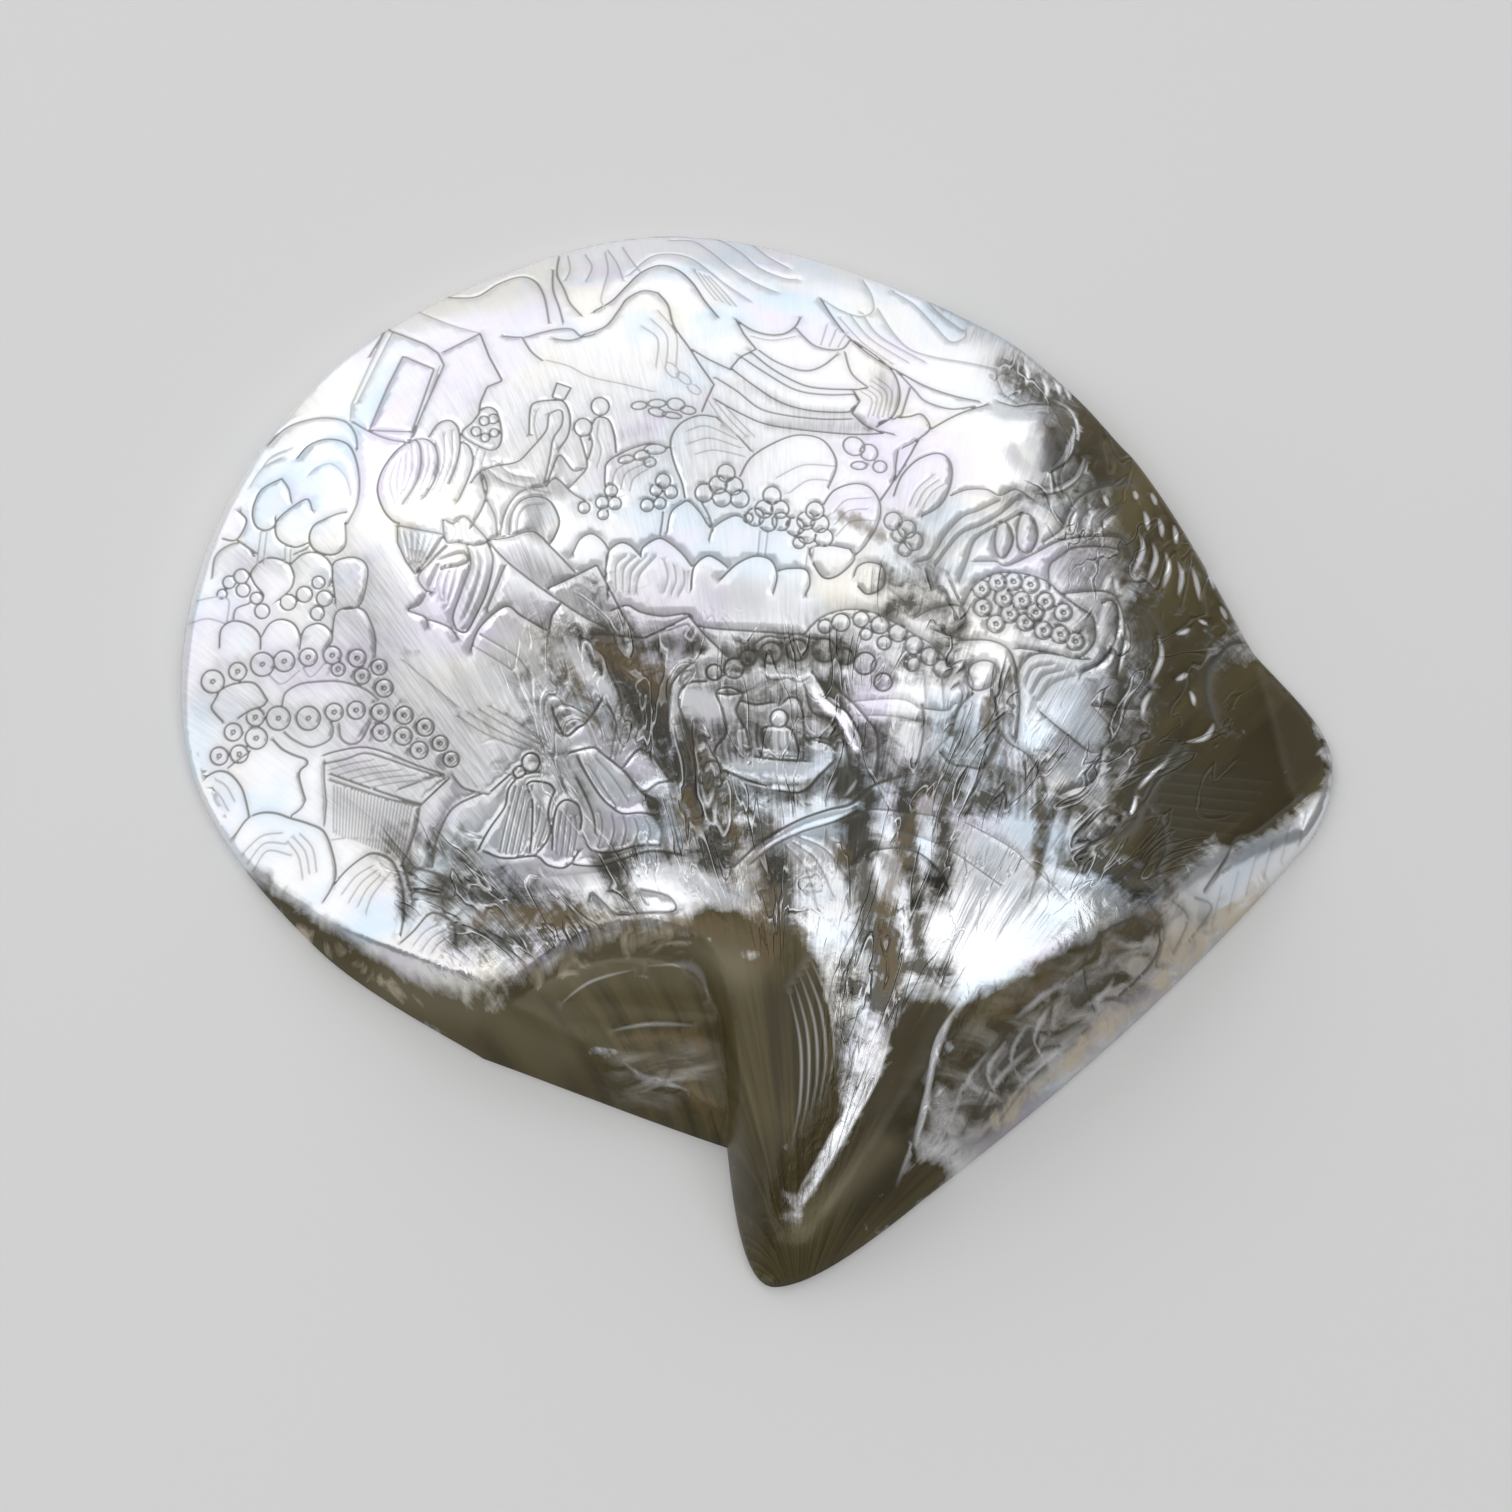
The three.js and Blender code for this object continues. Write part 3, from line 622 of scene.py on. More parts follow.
BIG_LEAVES = {
    "leaf 1": form(
        (685, 498), (682, 483), (676, 468), (671, 450), (672, 435), (682, 422), (700, 415), (716, 417),
    ),
    "leaf 1, right": cut((716, 417), (727, 426), (740, 438), (751, 450)),
    "leaf 1, veins": hatch([(689, 430), (707, 426), (737, 439)], [(696, 454), (715, 450), (744, 456)], 3),
    "leaf 2": form((605, 494), (605, 472), (608, 461), (627, 450), (652, 443), (671, 448)),
    "leaf 2, veins": hatch([(612, 488), (618, 468), (648, 456)], [(630, 490), (634, 478), (650, 468)], 3),
    "leaf 3": ledge(
        (740, 476), (751, 457), (773, 443), (797, 435), (821, 439), (834, 454), (836, 468), (828, 487),
    ),
    "leaf 3, veins": hatch([(777, 477), (803, 465), (833, 466)], [(790, 492), (808, 480), (828, 480)], 2),
    "leaf 4": form(
        (823, 505), (834, 490), (854, 483), (870, 487), (880, 503), (878, 523), (865, 545), (854, 556),
    ),
    "leaf 4, veins": hatch([(834, 512), (846, 500), (866, 498)], [(836, 536), (850, 522), (868, 520)], 3),
    "leaf 5": form((898, 450), (896, 464), (894, 479), (880, 501)),
    "centre leaf": form((667, 531), (671, 512), (682, 503), (689, 501), (700, 512), (707, 523), (713, 531)),
    "stem": cut((660, 534), (662, 522), (663, 512)),
    "petal 1": form((608, 598), (606, 571), (608, 553), (619, 543), (630, 545), (641, 556)),
    "petal 2": form((641, 556), (643, 547), (658, 538), (669, 542), (682, 553), (691, 565)),
    "petal 3": form((691, 589), (694, 567), (707, 556), (718, 560), (727, 567)),
    "petal 4": form((722, 578), (737, 564), (755, 556), (771, 560), (777, 575), (773, 593)),
    "petal 5": form((777, 571), (788, 568), (806, 569), (810, 582), (806, 593)),
    "petal 6": form((573, 553), (581, 538), (594, 534), (608, 549), (605, 571)),
    "petal veins": hatch([(616, 590), (616, 566), (626, 556)], [(636, 590), (640, 574), (656, 556)], 4),
    "right petal veins": hatch([(664, 560), (668, 576), (664, 592)], [(684, 572), (684, 584), (678, 596)], 3),
    "flat rock": form((850, 549), (854, 560), (836, 576), (821, 575), (810, 549), (830, 545), (850, 549)),
    "rock, right": form((854, 575), (858, 566), (869, 562), (883, 567), (883, 586), (868, 594), (858, 586)),
}
KNOB = {
    "big rock": ledge((884, 495), (898, 475), (910, 455), (922, 436), (943, 422), (963, 412), (985, 405)),
    "petal 1": form(
        (894, 495), (902, 475), (918, 459), (939, 453), (951, 463), (951, 483), (941, 504), (922, 516),
    ),
    "petal 1, veins": hatch([(910, 504), (918, 488), (932, 476)], [(922, 508), (932, 492), (944, 484)], 3),
    "petal 2": form((951, 495), (967, 489), (987, 489), (1000, 495), (1016, 489), (1032, 499)),
    "knob, top": cut((1000, 402), (1016, 406), (1032, 404), (1059, 406)),
    "knob, right": form((1059, 406), (1071, 414), (1076, 434), (1069, 459), (1050, 473)),
    "knob, second edge": cut((1087, 455), (1081, 475), (1065, 489), (1044, 495)),
    "knob, inner": hair((1050, 420), (1061, 430), (1063, 451), (1052, 467)),
    "knob glint": glints([(1056, 402), (1076, 428), (1052, 470)], [(1087, 454), (1074, 482), (1048, 494)], 2),
    "knob, eye": discs((1052, 424, 9, 9), style=FAINT),
    "rim glints": glints([(1022, 360), (1028, 372), (1026, 386)], [(1041, 374), (1047, 388), (1045, 400)], 2),
    "rim, small": glints([(1054, 378), (1058, 386), (1060, 396)], [(1064, 386), (1068, 392), (1070, 400)], 2),
}
LEFT_MOUND = {
    "outer edge": cut((269, 444), (284, 429), (302, 421), (324, 417), (345, 421), (355, 434), (357, 449)),
    "bold edge": ledge(
        (297, 457), (309, 444), (327, 438), (345, 442), (354, 454), (359, 477), (357, 502), (347, 523),
    ),
    "inner arc": hair((309, 474), (317, 467), (332, 464), (345, 477), (350, 495)),
    "outer arcs": hatch([(259, 472), (271, 457), (289, 449)], [(251, 484), (262, 468), (280, 458)], 2),
    "leaf 1": form(
        (275, 518), (274, 526), (265, 530), (256, 526), (252, 515), (254, 502), (262, 488), (281, 478),
    ),
    "leaf 1, right": cut((281, 478), (288, 488), (291, 501)),
    "leaf 2": form(
        (307, 543), (294, 547), (279, 540), (275, 528), (279, 518), (292, 507), (307, 499), (312, 510),
    ),
    "leaf 3": ledge(
        (345, 523), (345, 543), (338, 552), (327, 554), (314, 549), (309, 538), (314, 525), (327, 518),
    ),
    "leaf 3, top": cut((327, 518), (337, 514), (346, 512)),
    "trunks": hatch([(261, 530), (257, 563)], [(267, 530), (263, 563)], 2),
    "trunks, right": hatch([(285, 545), (285, 563)], [(291, 545), (290, 561)], 2),
    "step": cut((294, 554), (308, 547), (309, 543)),
    "edge leaf": form((222, 538), (236, 539), (246, 521), (240, 512)),
    "edge leaf, under": cut((236, 539), (256, 553)),
}
CANOPIES = {
    "canopy 1": form(
        (262, 601), (263, 594), (254, 583), (251, 571), (264, 559), (276, 558), (289, 564), (294, 576),
    ),
    "canopy 1, right": cut((294, 576), (291, 588), (278, 600)),
    "canopy 2": form((291, 563), (304, 553), (319, 553), (330, 563), (332, 576), (328, 586)),
    "canopy 3": form(
        (335, 601), (332, 566), (342, 558), (355, 557), (365, 563), (367, 576), (360, 604), (345, 609),
    ),
    "canopy 4": cut((212, 576), (215, 556), (228, 545), (243, 543), (254, 556)),
    "canopy 5": cut((233, 621), (236, 609), (248, 604)),
    "canopy 6": form((219, 647), (221, 629), (233, 621), (248, 624), (259, 634), (260, 649)),
    "canopy 7": form((260, 639), (269, 624), (281, 619), (294, 624), (300, 637), (299, 649)),
    "canopy 8": form((300, 644), (304, 629), (317, 623), (328, 628), (332, 639), (327, 647)),
    "canopy 9": form((332, 637), (335, 614), (347, 607), (362, 609), (370, 621), (375, 637), (375, 652)),
    "canopy 10": hair((189, 624), (208, 619), (226, 624)),
    "canopy 11": hair((198, 601), (218, 597), (229, 601), (227, 621)),
    "beads 1": beads(
        (241, 576, 7.5), (229, 582, 6.5), (243, 590, 7), (222, 594, 5), (256, 598, 6), (262, 611, 7.5),
    ),
    "beads 2": beads((318, 582, 6.5), (304, 594, 8), (288, 602, 8), (324, 598, 8), (317, 613, 7)),
}
BEAD_ROWS = {
    "row 1": pierced(
        (262, 664, 12), (284, 661, 10.5), (308, 657), (332, 655), (357, 658), (379, 667, 8), (384, 688),
        (338, 669, 7), (237, 671), (212, 681, 11.5), (362, 676, 8),
    ),
    "row 1, bowls": hatch([(270, 676), (282, 684), (299, 671)], [(303, 668), (311, 677), (324, 664)], 2),
    "smooth patch": ledge((222, 721), (211, 708), (214, 700), (221, 689), (235, 683), (254, 683), (267, 700)),
    "smooth patch, right": ledge((267, 700), (262, 706), (250, 710), (239, 717)),
    "pond": cut(
        (282, 704), (285, 693), (297, 685), (311, 682), (337, 681), (358, 686), (371, 693), (378, 700),
    ),
    "row 2": pierced(
        (278, 718, 12), (308, 718, 12), (334, 712), (356, 710), (380, 712, 9), (404, 715), (425, 727),
        (440, 743, 8), (381, 732, 9), (403, 736, 9), (419, 750, 9), (451, 759, 8), (255, 717),
        (256, 738, 11), (233, 732, 9), (239, 754, 9), (219, 756),
    ),
    "row 2, bowl": cut((284, 732), (294, 740), (311, 747), (329, 740), (333, 730), (331, 723)),
    "row 2, second bowl": cut((339, 725), (341, 738), (350, 744), (361, 740), (369, 725)),
}
LOWER_LEFT = {
    "rock": ledge(
        (273, 740), (282, 749), (294, 755), (305, 759), (307, 764), (300, 770), (299, 779), (305, 800),
    ),
    "rock, foot": cut((305, 800), (301, 808), (292, 815)),
    "rock, left": cut((250, 751), (233, 764), (228, 768)),
    "leaf 1": form((207, 776), (218, 771), (230, 774), (241, 787), (246, 802), (249, 817)),
    "leaf 1, veins": hatch([(216, 780), (226, 786), (234, 800)], [(212, 788), (220, 796), (228, 810)], 2),
    "leaf 2": ledge(
        (237, 832), (247, 819), (260, 813), (275, 813), (290, 818), (307, 823), (322, 830), (329, 843),
    ),
    "leaf 2, right": ledge((329, 843), (334, 862), (335, 877), (330, 890)),
    "leaf 2, veins": hatch([(245, 851), (262, 836), (282, 833)], [(254, 870), (267, 851), (290, 855)], 3),
    "leaf 2, veins 2": hatch([(300, 834), (312, 848), (316, 870)], [(288, 842), (298, 856), (302, 876)], 3),
    "leaf 3": ledge(
        (324, 900), (335, 883), (346, 870), (361, 858), (373, 853), (388, 858), (397, 870), (403, 892),
    ),
    "leaf 3, right": ledge((403, 892), (403, 917), (400, 934)),
    "leaf 3, veins": hatch([(342, 894), (356, 876), (372, 866)], [(366, 912), (372, 896), (384, 880)], 4),
    "leaf 4": form((402, 941), (414, 930), (427, 915), (437, 913), (452, 922), (456, 940)),
    "leaf 4, veins": hatch([(414, 944), (424, 932), (434, 926)], [(432, 952), (438, 944), (446, 938)], 3),
}
HOUSE = {
    "roof": form((324, 755), (337, 751), (363, 747), (388, 753), (416, 765), (444, 774)),
    "roof, left": cut((327, 763), (346, 759), (365, 753), (388, 759), (416, 769), (442, 777)),
    "thatch": hatch([(330, 770), (350, 764), (372, 760)], [(372, 787), (400, 782), (430, 780)], 5),
    "eaves": ledge((422, 804), (410, 801), (388, 794), (356, 783), (331, 774)),
    "gable": ruled((399, 789), (442, 774)),
    "gable, right": block((448, 779), (422, 804)),
    "wall, left": ruled((324, 762), (324, 781), (326, 802), (324, 823)),
    "wall, top": ruled((330, 780), (388, 799), (420, 806)),
    "wall, right": cut((420, 806), (416, 828), (407, 853), (401, 866)),
    "wall boards": hatch([(334, 786), (333, 832)], [(412, 808), (402, 858)], 24),
    "sill": hair((329, 840), (346, 838), (371, 839)),
    "slab": block((403, 864), (410, 890), (448, 898)),
    "slab, top": cut((407, 866), (440, 875), (474, 894)),
    "right edge": ledge((432, 867), (437, 838), (453, 808), (482, 793)),
}
FIGURES_BELOW = {
    "slope": cut((453, 776), (464, 788), (484, 793), (489, 794)),
    "bundle": beads((531, 762, 9), (519, 772, 6)),
    "pole": ruled((489, 793), (521, 765)),
    "first figure": form((479, 849), (482, 842), (491, 826), (505, 806), (509, 788), (521, 776), (538, 772)),
    "pleats 1": hatch([(516, 786), (505, 826), (500, 851)], [(532, 786), (524, 826), (518, 854)], 4),
    "second figure": form((530, 852), (532, 826), (532, 801), (527, 786), (532, 781), (548, 783), (555, 790)),
    "second figure, right": cut((555, 790), (550, 801), (548, 815), (550, 829), (546, 842), (536, 854)),
    "pleats 2": hatch([(540, 806), (536, 829), (524, 854)], [(548, 806), (544, 829), (536, 852)], 2),
    "hem": cut((484, 851), (498, 857), (512, 858), (536, 856), (548, 865), (566, 867), (578, 852)),
    "third figure": form((552, 850), (553, 824), (557, 806), (566, 799), (577, 804), (581, 817), (580, 829)),
    "pleats 3": hatch([(561, 812), (558, 832), (556, 852)], [(575, 816), (576, 834), (572, 856)], 4),
    "sleeve, top": ledge((570, 752), (593, 747), (602, 753), (623, 770), (634, 783), (643, 793), (656, 800)),
    "sleeve, under": form((657, 815), (641, 812), (623, 813), (611, 806), (599, 794), (584, 770), (577, 756)),
    "sleeve tail": cut((577, 779), (586, 797), (593, 815), (595, 832)),
    "sleeve folds": hatch([(596, 758), (612, 776), (628, 800)], [(588, 764), (602, 786), (616, 806)], 2),
    "skirt": hatch([(600, 812), (602, 828), (598, 846)], [(656, 818), (662, 832), (657, 846)], 6),
    "skirt, hem": cut((584, 838), (592, 850), (611, 852), (634, 846), (660, 844)),
    "scarf": cut((625, 770), (643, 790), (657, 783), (670, 781)),
    "scarf, top": cut((623, 767), (643, 749), (670, 779)),
    "hair, left": form((552, 708), (557, 722), (566, 736), (578, 727), (584, 724), (593, 713), (602, 699)),
    "hair": hatch([(612, 728), (618, 704), (636, 690)], [(640, 730), (646, 710), (652, 700)], 5),
    "back": hatch([(618, 720), (614, 738), (611, 756)], [(632, 722), (627, 738), (620, 754)], 3),
    "shore": cut((566, 863), (600, 865), (648, 851), (679, 854)),
    "ripples": hatch([(458, 716), (486, 734), (520, 748)], [(490, 706), (520, 724), (548, 742)], 4),
    "small boat": form(
        (589, 899), (592, 892), (604, 903), (618, 914), (648, 912), (675, 910), (668, 896), (641, 889),
    ),
    "scratch 1": ruled_hair((403, 660), (458, 707)),
    "scratch 2": ruled_hair((507, 713), (548, 747)),
}
MEDALLION = {
    "left frame": ledge((670, 745), (668, 715), (670, 693), (674, 680), (690, 664)),
    "left frame, inner": cut((679, 706), (679, 695), (682, 688), (691, 682), (706, 681)),
    "left frame, foot": cut((679, 706), (686, 727), (693, 742)),
    "right frame": ledge((812, 671), (821, 686), (830, 701), (847, 712), (858, 730), (863, 745)),
    "outer frame": cut((834, 686), (852, 701), (867, 719), (876, 732), (878, 752), (876, 774)),
    "petals": beads(
        (734, 668, 10), (771, 653, 11), (797, 650, 11), (824, 650, 12), (865, 663, 11), (883, 682, 9),
    ),
    "petals, right": beads((912, 663, 8), (845, 656, 8), (748, 658, 8), (714, 672, 8)),
    "cover": cut((757, 642), (768, 636), (783, 638), (797, 634), (812, 638), (830, 640), (838, 651)),
    "arcs": glints([(760, 667), (770, 675), (784, 674)], [(786, 673), (799, 677), (812, 671)], 2),
    "arcs, under": hatch([(762, 672), (771, 680), (784, 679)], [(788, 678), (800, 682), (810, 677)], 2),
    "pit": discs((702, 650, 2.6, 2.6), style=PIT),
    "bright right edge": glints(
        [(812, 671), (824, 694), (845, 713), (862, 746)], [(810, 674), (820, 696), (842, 718), (856, 746)],
        2,
    ),
    "bright left edge": gleams([(676, 684), (672, 704), (670, 738)], [(684, 688), (679, 700), (678, 712)], 2),
    "by the table": gleams([(758, 748), (778, 751), (798, 754)], [(730, 764), (746, 765), (754, 750)], 2),
    "either side": gleams([(722, 702), (734, 714), (728, 734)], [(812, 742), (824, 745), (834, 752)], 2),
    "under the floor": gleams([(726, 777), (762, 786), (798, 790)], [(760, 776), (780, 781), (802, 783)], 2),
    "on the right": gleams([(858, 778), (850, 790), (843, 798)], [(838, 776), (830, 790), (822, 800)], 2),
    "below the path": hatch([(796, 836), (826, 850), (848, 880)], [(786, 846), (806, 870), (818, 910)], 3),
    "dark folds": hatch([(716, 692), (728, 694), (744, 692)], [(742, 700), (756, 704), (772, 702)], 2, LINE),
    "inside of the frame": cut((806, 690), (812, 712), (832, 724), (846, 746), (850, 770)),
    "left of the sitter": cut((757, 724), (757, 742), (762, 756)),
    "right of the sitter": cut((806, 740), (820, 738), (836, 742)),
    "arch": form((781, 704), (790, 697), (800, 701), (803, 717), (804, 739), (803, 759)),
    "head": beads((779, 718, 9)),
    "sitter": form((770, 751), (764, 744), (762, 730), (768, 726), (788, 727), (795, 736), (799, 753)),
    "sitter, folds": hatch([(771, 732), (769, 742), (773, 751)], [(787, 732), (788, 742), (790, 752)], 3),
    "left robe": form((715, 750), (717, 745), (726, 732), (722, 708), (716, 691), (730, 687), (744, 693)),
    "left robe, right": cut((744, 693), (737, 706), (738, 715), (748, 735), (750, 763)),
    "left robe, folds": hatch([(726, 734), (722, 746), (724, 758)], [(742, 728), (743, 744), (743, 760)], 4),
    "table": cut((755, 756), (777, 759), (805, 761)),
    "bench": cut((805, 741), (823, 743), (834, 748), (834, 760)),
    "floor": ledge((724, 770), (757, 783), (799, 792), (821, 774), (836, 759)),
    "knot": beads((712, 769, 9), (703, 778, 5), (717, 782, 5), (724, 775, 4)),
    "branch": ledge(
        (735, 866), (757, 844), (781, 829), (803, 818), (830, 809), (852, 803), (874, 785), (900, 776),
    ),
    "branch, under": cut((752, 862), (772, 846), (800, 832), (832, 822), (856, 812)),
    "strokes": hair((874, 809), (900, 811), (935, 816)),
    "strokes, long": hatch([(900, 831), (949, 849), (999, 884)], [(967, 823), (1016, 851), (1064, 900)], 2),
    "mushroom": ledge(
        (867, 900), (865, 873), (869, 853), (882, 849), (900, 848), (922, 855), (940, 871), (948, 886),
    ),
}
STANDING = {
    "post 1": hatch([(924, 673), (926, 704)], [(942, 677), (944, 708)], 2),
    "left side": cut((922, 704), (924, 726), (922, 743), (918, 761)),
    "sash": cut((926, 708), (946, 710), (953, 704)),
    "bar": hatch([(854, 715), (890, 716), (920, 721)], [(849, 701), (900, 699), (920, 708)], 2),
    "head": closed(
        (968, 675), (972, 664), (984, 660), (995, 664), (996, 676), (990, 686), (978, 690), (970, 686),
    ),
    "collar": form((973, 693), (962, 704), (956, 716), (952, 734)),
    "sleeve": cut((992, 690), (997, 712), (999, 734)),
    "robe, folds": hatch([(966, 706), (960, 728), (952, 748)], [(990, 706), (988, 730), (984, 752)], 4),
    "robe, hem": cut((940, 752), (951, 763), (964, 766), (984, 767), (997, 745)),
    "train": hatch([(922, 770), (936, 750), (951, 734)], [(934, 778), (946, 764), (960, 752)], 2),
    "outline": form((963, 640), (988, 640), (1006, 647), (1014, 659), (1018, 680), (1020, 703), (1017, 738)),
    "back": hatch([(999, 668), (1004, 703), (1003, 732)], [(1010, 668), (1013, 703), (1011, 734)], 2),
    "shoulder": cut((1000, 732), (1011, 744), (1026, 753), (1038, 768), (1046, 790)),
    "drapery": hatch([(1006, 752), (1008, 784), (1002, 812)], [(1038, 770), (1038, 796), (1040, 820)], 6),
}
BEAD_CHAIN = {
    "edge": ledge(
        (804, 634), (821, 617), (845, 609), (870, 611), (894, 622), (914, 634), (935, 646), (951, 666),
    ),
    "chain": beads(
        (825, 626, 7), (841, 622), (861, 619, 8), (880, 625), (898, 633), (884, 643, 7), (914, 645),
        (930, 656), (943, 668), (914, 664, 7), (866, 634, 6),
    ),
    "rock": form((916, 617), (931, 609), (951, 605), (963, 609), (965, 626), (951, 634), (935, 630)),
    "mass": form(
        (963, 605), (975, 585), (996, 573), (1024, 573), (1048, 581), (1057, 589), (1077, 605), (1093, 615),
    ),
    "mass, right": cut((1093, 615), (1096, 632), (1092, 646), (1077, 658), (1053, 652), (1020, 648)),
    "mass, beads": pierced(
        (982, 589), (998, 582), (1014, 581), (1031, 584), (983, 608), (1004, 598), (996, 624), (1010, 614),
        (1026, 622), (1044, 630), (1046, 601), (1036, 612), (1061, 634), (1022, 600), (1064, 612),
        (1076, 641),
    ),
}
WILLOW = {
    "strand 1": cut((1000, 500), (979, 510), (963, 516), (947, 532), (931, 556), (918, 561)),
    "strand 2": cut((1016, 500), (1000, 514), (983, 524), (963, 532), (951, 544), (935, 565)),
    "strand 3": cut((1022, 512), (1008, 520), (992, 528), (975, 540), (967, 561), (959, 581)),
    "pods": closed((995, 540), (1000, 522), (1010, 526), (1013, 542), (1005, 557), (998, 554)),
    "pods, right": closed((1017, 534), (1022, 514), (1034, 518), (1038, 536), (1030, 552), (1020, 548)),
    "arch": form((1040, 550), (1061, 540), (1089, 536), (1122, 538), (1134, 561)),
    "arch, inner": cut((1050, 589), (1050, 566), (1061, 556), (1073, 548), (1101, 546), (1122, 550)),
    "low strand": cut((975, 561), (996, 561), (1008, 565), (1040, 550)),
    "beam": cut((1065, 593), (1101, 591), (1118, 597)),
    "rim arch": form((1044, 541), (1062, 528), (1070, 508), (1084, 494), (1104, 486), (1130, 482)),
    "rim leaves": hatch([(1072, 536), (1070, 520), (1082, 502)], [(1104, 536), (1104, 518), (1120, 508)], 4),
    "glints 1": glints([(1080, 502), (1074, 514), (1070, 534)], [(1117, 514), (1106, 522), (1096, 536)], 3),
    "glints 2": glints([(1089, 500), (1090, 514), (1088, 530)], [(1104, 494), (1106, 500), (1108, 506)], 2),
    "glints 3": glints([(1134, 490), (1136, 494), (1136, 499)], [(1151, 492), (1154, 498), (1156, 505)], 2),
    "glints 4": glints([(1140, 532), (1143, 550), (1132, 575)], [(1178, 560), (1182, 576), (1178, 596)], 4),
    "glints 5": glints([(1144, 510), (1147, 518), (1148, 530)], [(1174, 524), (1176, 534), (1176, 544)], 3),
    "glints 6": glints([(1192, 566), (1196, 580), (1200, 602)], [(1206, 560), (1210, 576), (1214, 590)], 2),
    "corner": glints([(1220, 606), (1224, 614), (1226, 620)], [(1176, 634), (1184, 632), (1190, 628)], 3),
}
RIGHT_SIDE = {
    "leaf 1": form((1102, 603), (1111, 600), (1118, 609), (1117, 633), (1105, 659), (1085, 671)),
    "leaf 1, right": cut((1117, 598), (1123, 615), (1124, 639), (1120, 659), (1117, 674)),
    "leaf 2": glints([(1158, 634), (1162, 656), (1150, 684)], [(1112, 648), (1104, 662), (1092, 674)], 2),
    "on leaf 1": glints([(1104, 604), (1102, 618), (1096, 630)], [(1118, 604), (1122, 626), (1106, 647)], 2),
    "leaf edge": glints([(1116, 602), (1124, 636), (1119, 674)], [(1114, 650), (1106, 664), (1088, 674)], 2),
    "leaf 2, foot": glint_stroke((1152, 690), (1144, 704), (1142, 720)),
    "mound": hair((1128, 602), (1148, 612), (1160, 632), (1162, 652)),
    "leaf veins": hatch([(1126, 612), (1138, 633), (1139, 658)], [(1136, 610), (1149, 634), (1148, 664)], 3),
    "rock": form((1017, 683), (1020, 668), (1032, 655), (1050, 653), (1073, 658), (1088, 659)),
    "rock, folds": hatch([(1026, 684), (1034, 668), (1052, 664)], [(1040, 700), (1052, 684), (1072, 676)], 3),
    "bank": ledge((1041, 712), (1064, 732), (1088, 750), (1096, 752)),
    "shelf": cut((1091, 705), (1117, 708), (1143, 709)),
    "shelf folds": hatch([(1091, 705), (1103, 718), (1114, 730)], [(1112, 707), (1124, 718), (1134, 728)], 3),
    "bay": cut((1102, 749), (1099, 768), (1091, 782), (1073, 788), (1060, 794)),
    "bough": ledge((1176, 747), (1158, 765), (1140, 782), (1132, 803), (1126, 820), (1111, 829), (1091, 844)),
    "bough, foot": cut((1091, 844), (1082, 856), (1076, 872)),
    "bough, under": cut((1184, 752), (1166, 772), (1150, 790), (1142, 808), (1134, 826), (1118, 838)),
    "leaf 3": form((1146, 803), (1164, 823), (1167, 850), (1158, 873)),
    "specks": glints([(1176, 680), (1182, 677), (1188, 672)], [(1190, 690), (1193, 697), (1194, 706)], 2),
    "glints": glints([(1110, 574), (1106, 582), (1102, 590)], [(1114, 578), (1116, 584), (1116, 592)], 2),
    "dark bands": hatch([(1058, 803), (1047, 844), (1029, 900)], [(1072, 806), (1062, 846), (1050, 892)], 2),
}
WING = {
    "knob, bright edges": glints(
        [(1050, 398), (1070, 410), (1077, 432), (1068, 456), (1046, 472)],
        [(1087, 454), (1084, 470), (1072, 482), (1058, 489), (1036, 492)], 2,
    ),
    "smooth area": form((1214, 715), (1208, 691), (1211, 668), (1217, 659), (1231, 644), (1249, 643)),
    "smooth area, foot": cut((1214, 715), (1220, 726), (1231, 732)),
    "bright arc": glint_stroke((1186, 742), (1206, 737), (1215, 722)),
    "bough edge": glint_stroke((1174, 750), (1156, 768), (1138, 790)),
    "bough glint": glints(
        [(1136, 792), (1133, 808), (1122, 822)], [(1120, 822), (1104, 834), (1090, 844)], 2,
    ),
    "ribs": hatch([(1161, 772), (1205, 776), (1268, 782)], [(1156, 858), (1180, 862), (1206, 866)], 9, TRACE),
    "crack": cut((1205, 891), (1217, 873), (1226, 859), (1237, 838), (1255, 832), (1281, 812), (1300, 796)),
}
BEAK = {
    "ear, top": sheens([(556, 1008), (590, 982), (640, 968)], [(640, 966), (694, 968), (710, 1004)], 2),
    "ear, middle": sheen((606, 1032), (650, 1024), (700, 1026)),
    "wrinkles": sheens([(620, 1060), (644, 1076), (674, 1080)], [(640, 1092), (664, 1084), (692, 1092)], 3),
    "lines on the left roll": sheens(
        [(806, 950), (828, 1000), (834, 1050), (826, 1096)],
        [(786, 980), (800, 1040), (800, 1100), (790, 1156)], 5,
    ),
    "bright edge of the furrow": glints(
        [(884, 1020), (868, 1070), (846, 1112), (794, 1202)],
        [(893, 1020), (878, 1072), (856, 1116), (802, 1206)], 3,
    ),
    "bright edge of the right roll": glints(
        [(962, 1000), (938, 1040), (928, 1090), (912, 1150)],
        [(956, 1010), (934, 1060), (922, 1120), (896, 1188)], 2,
    ),
}
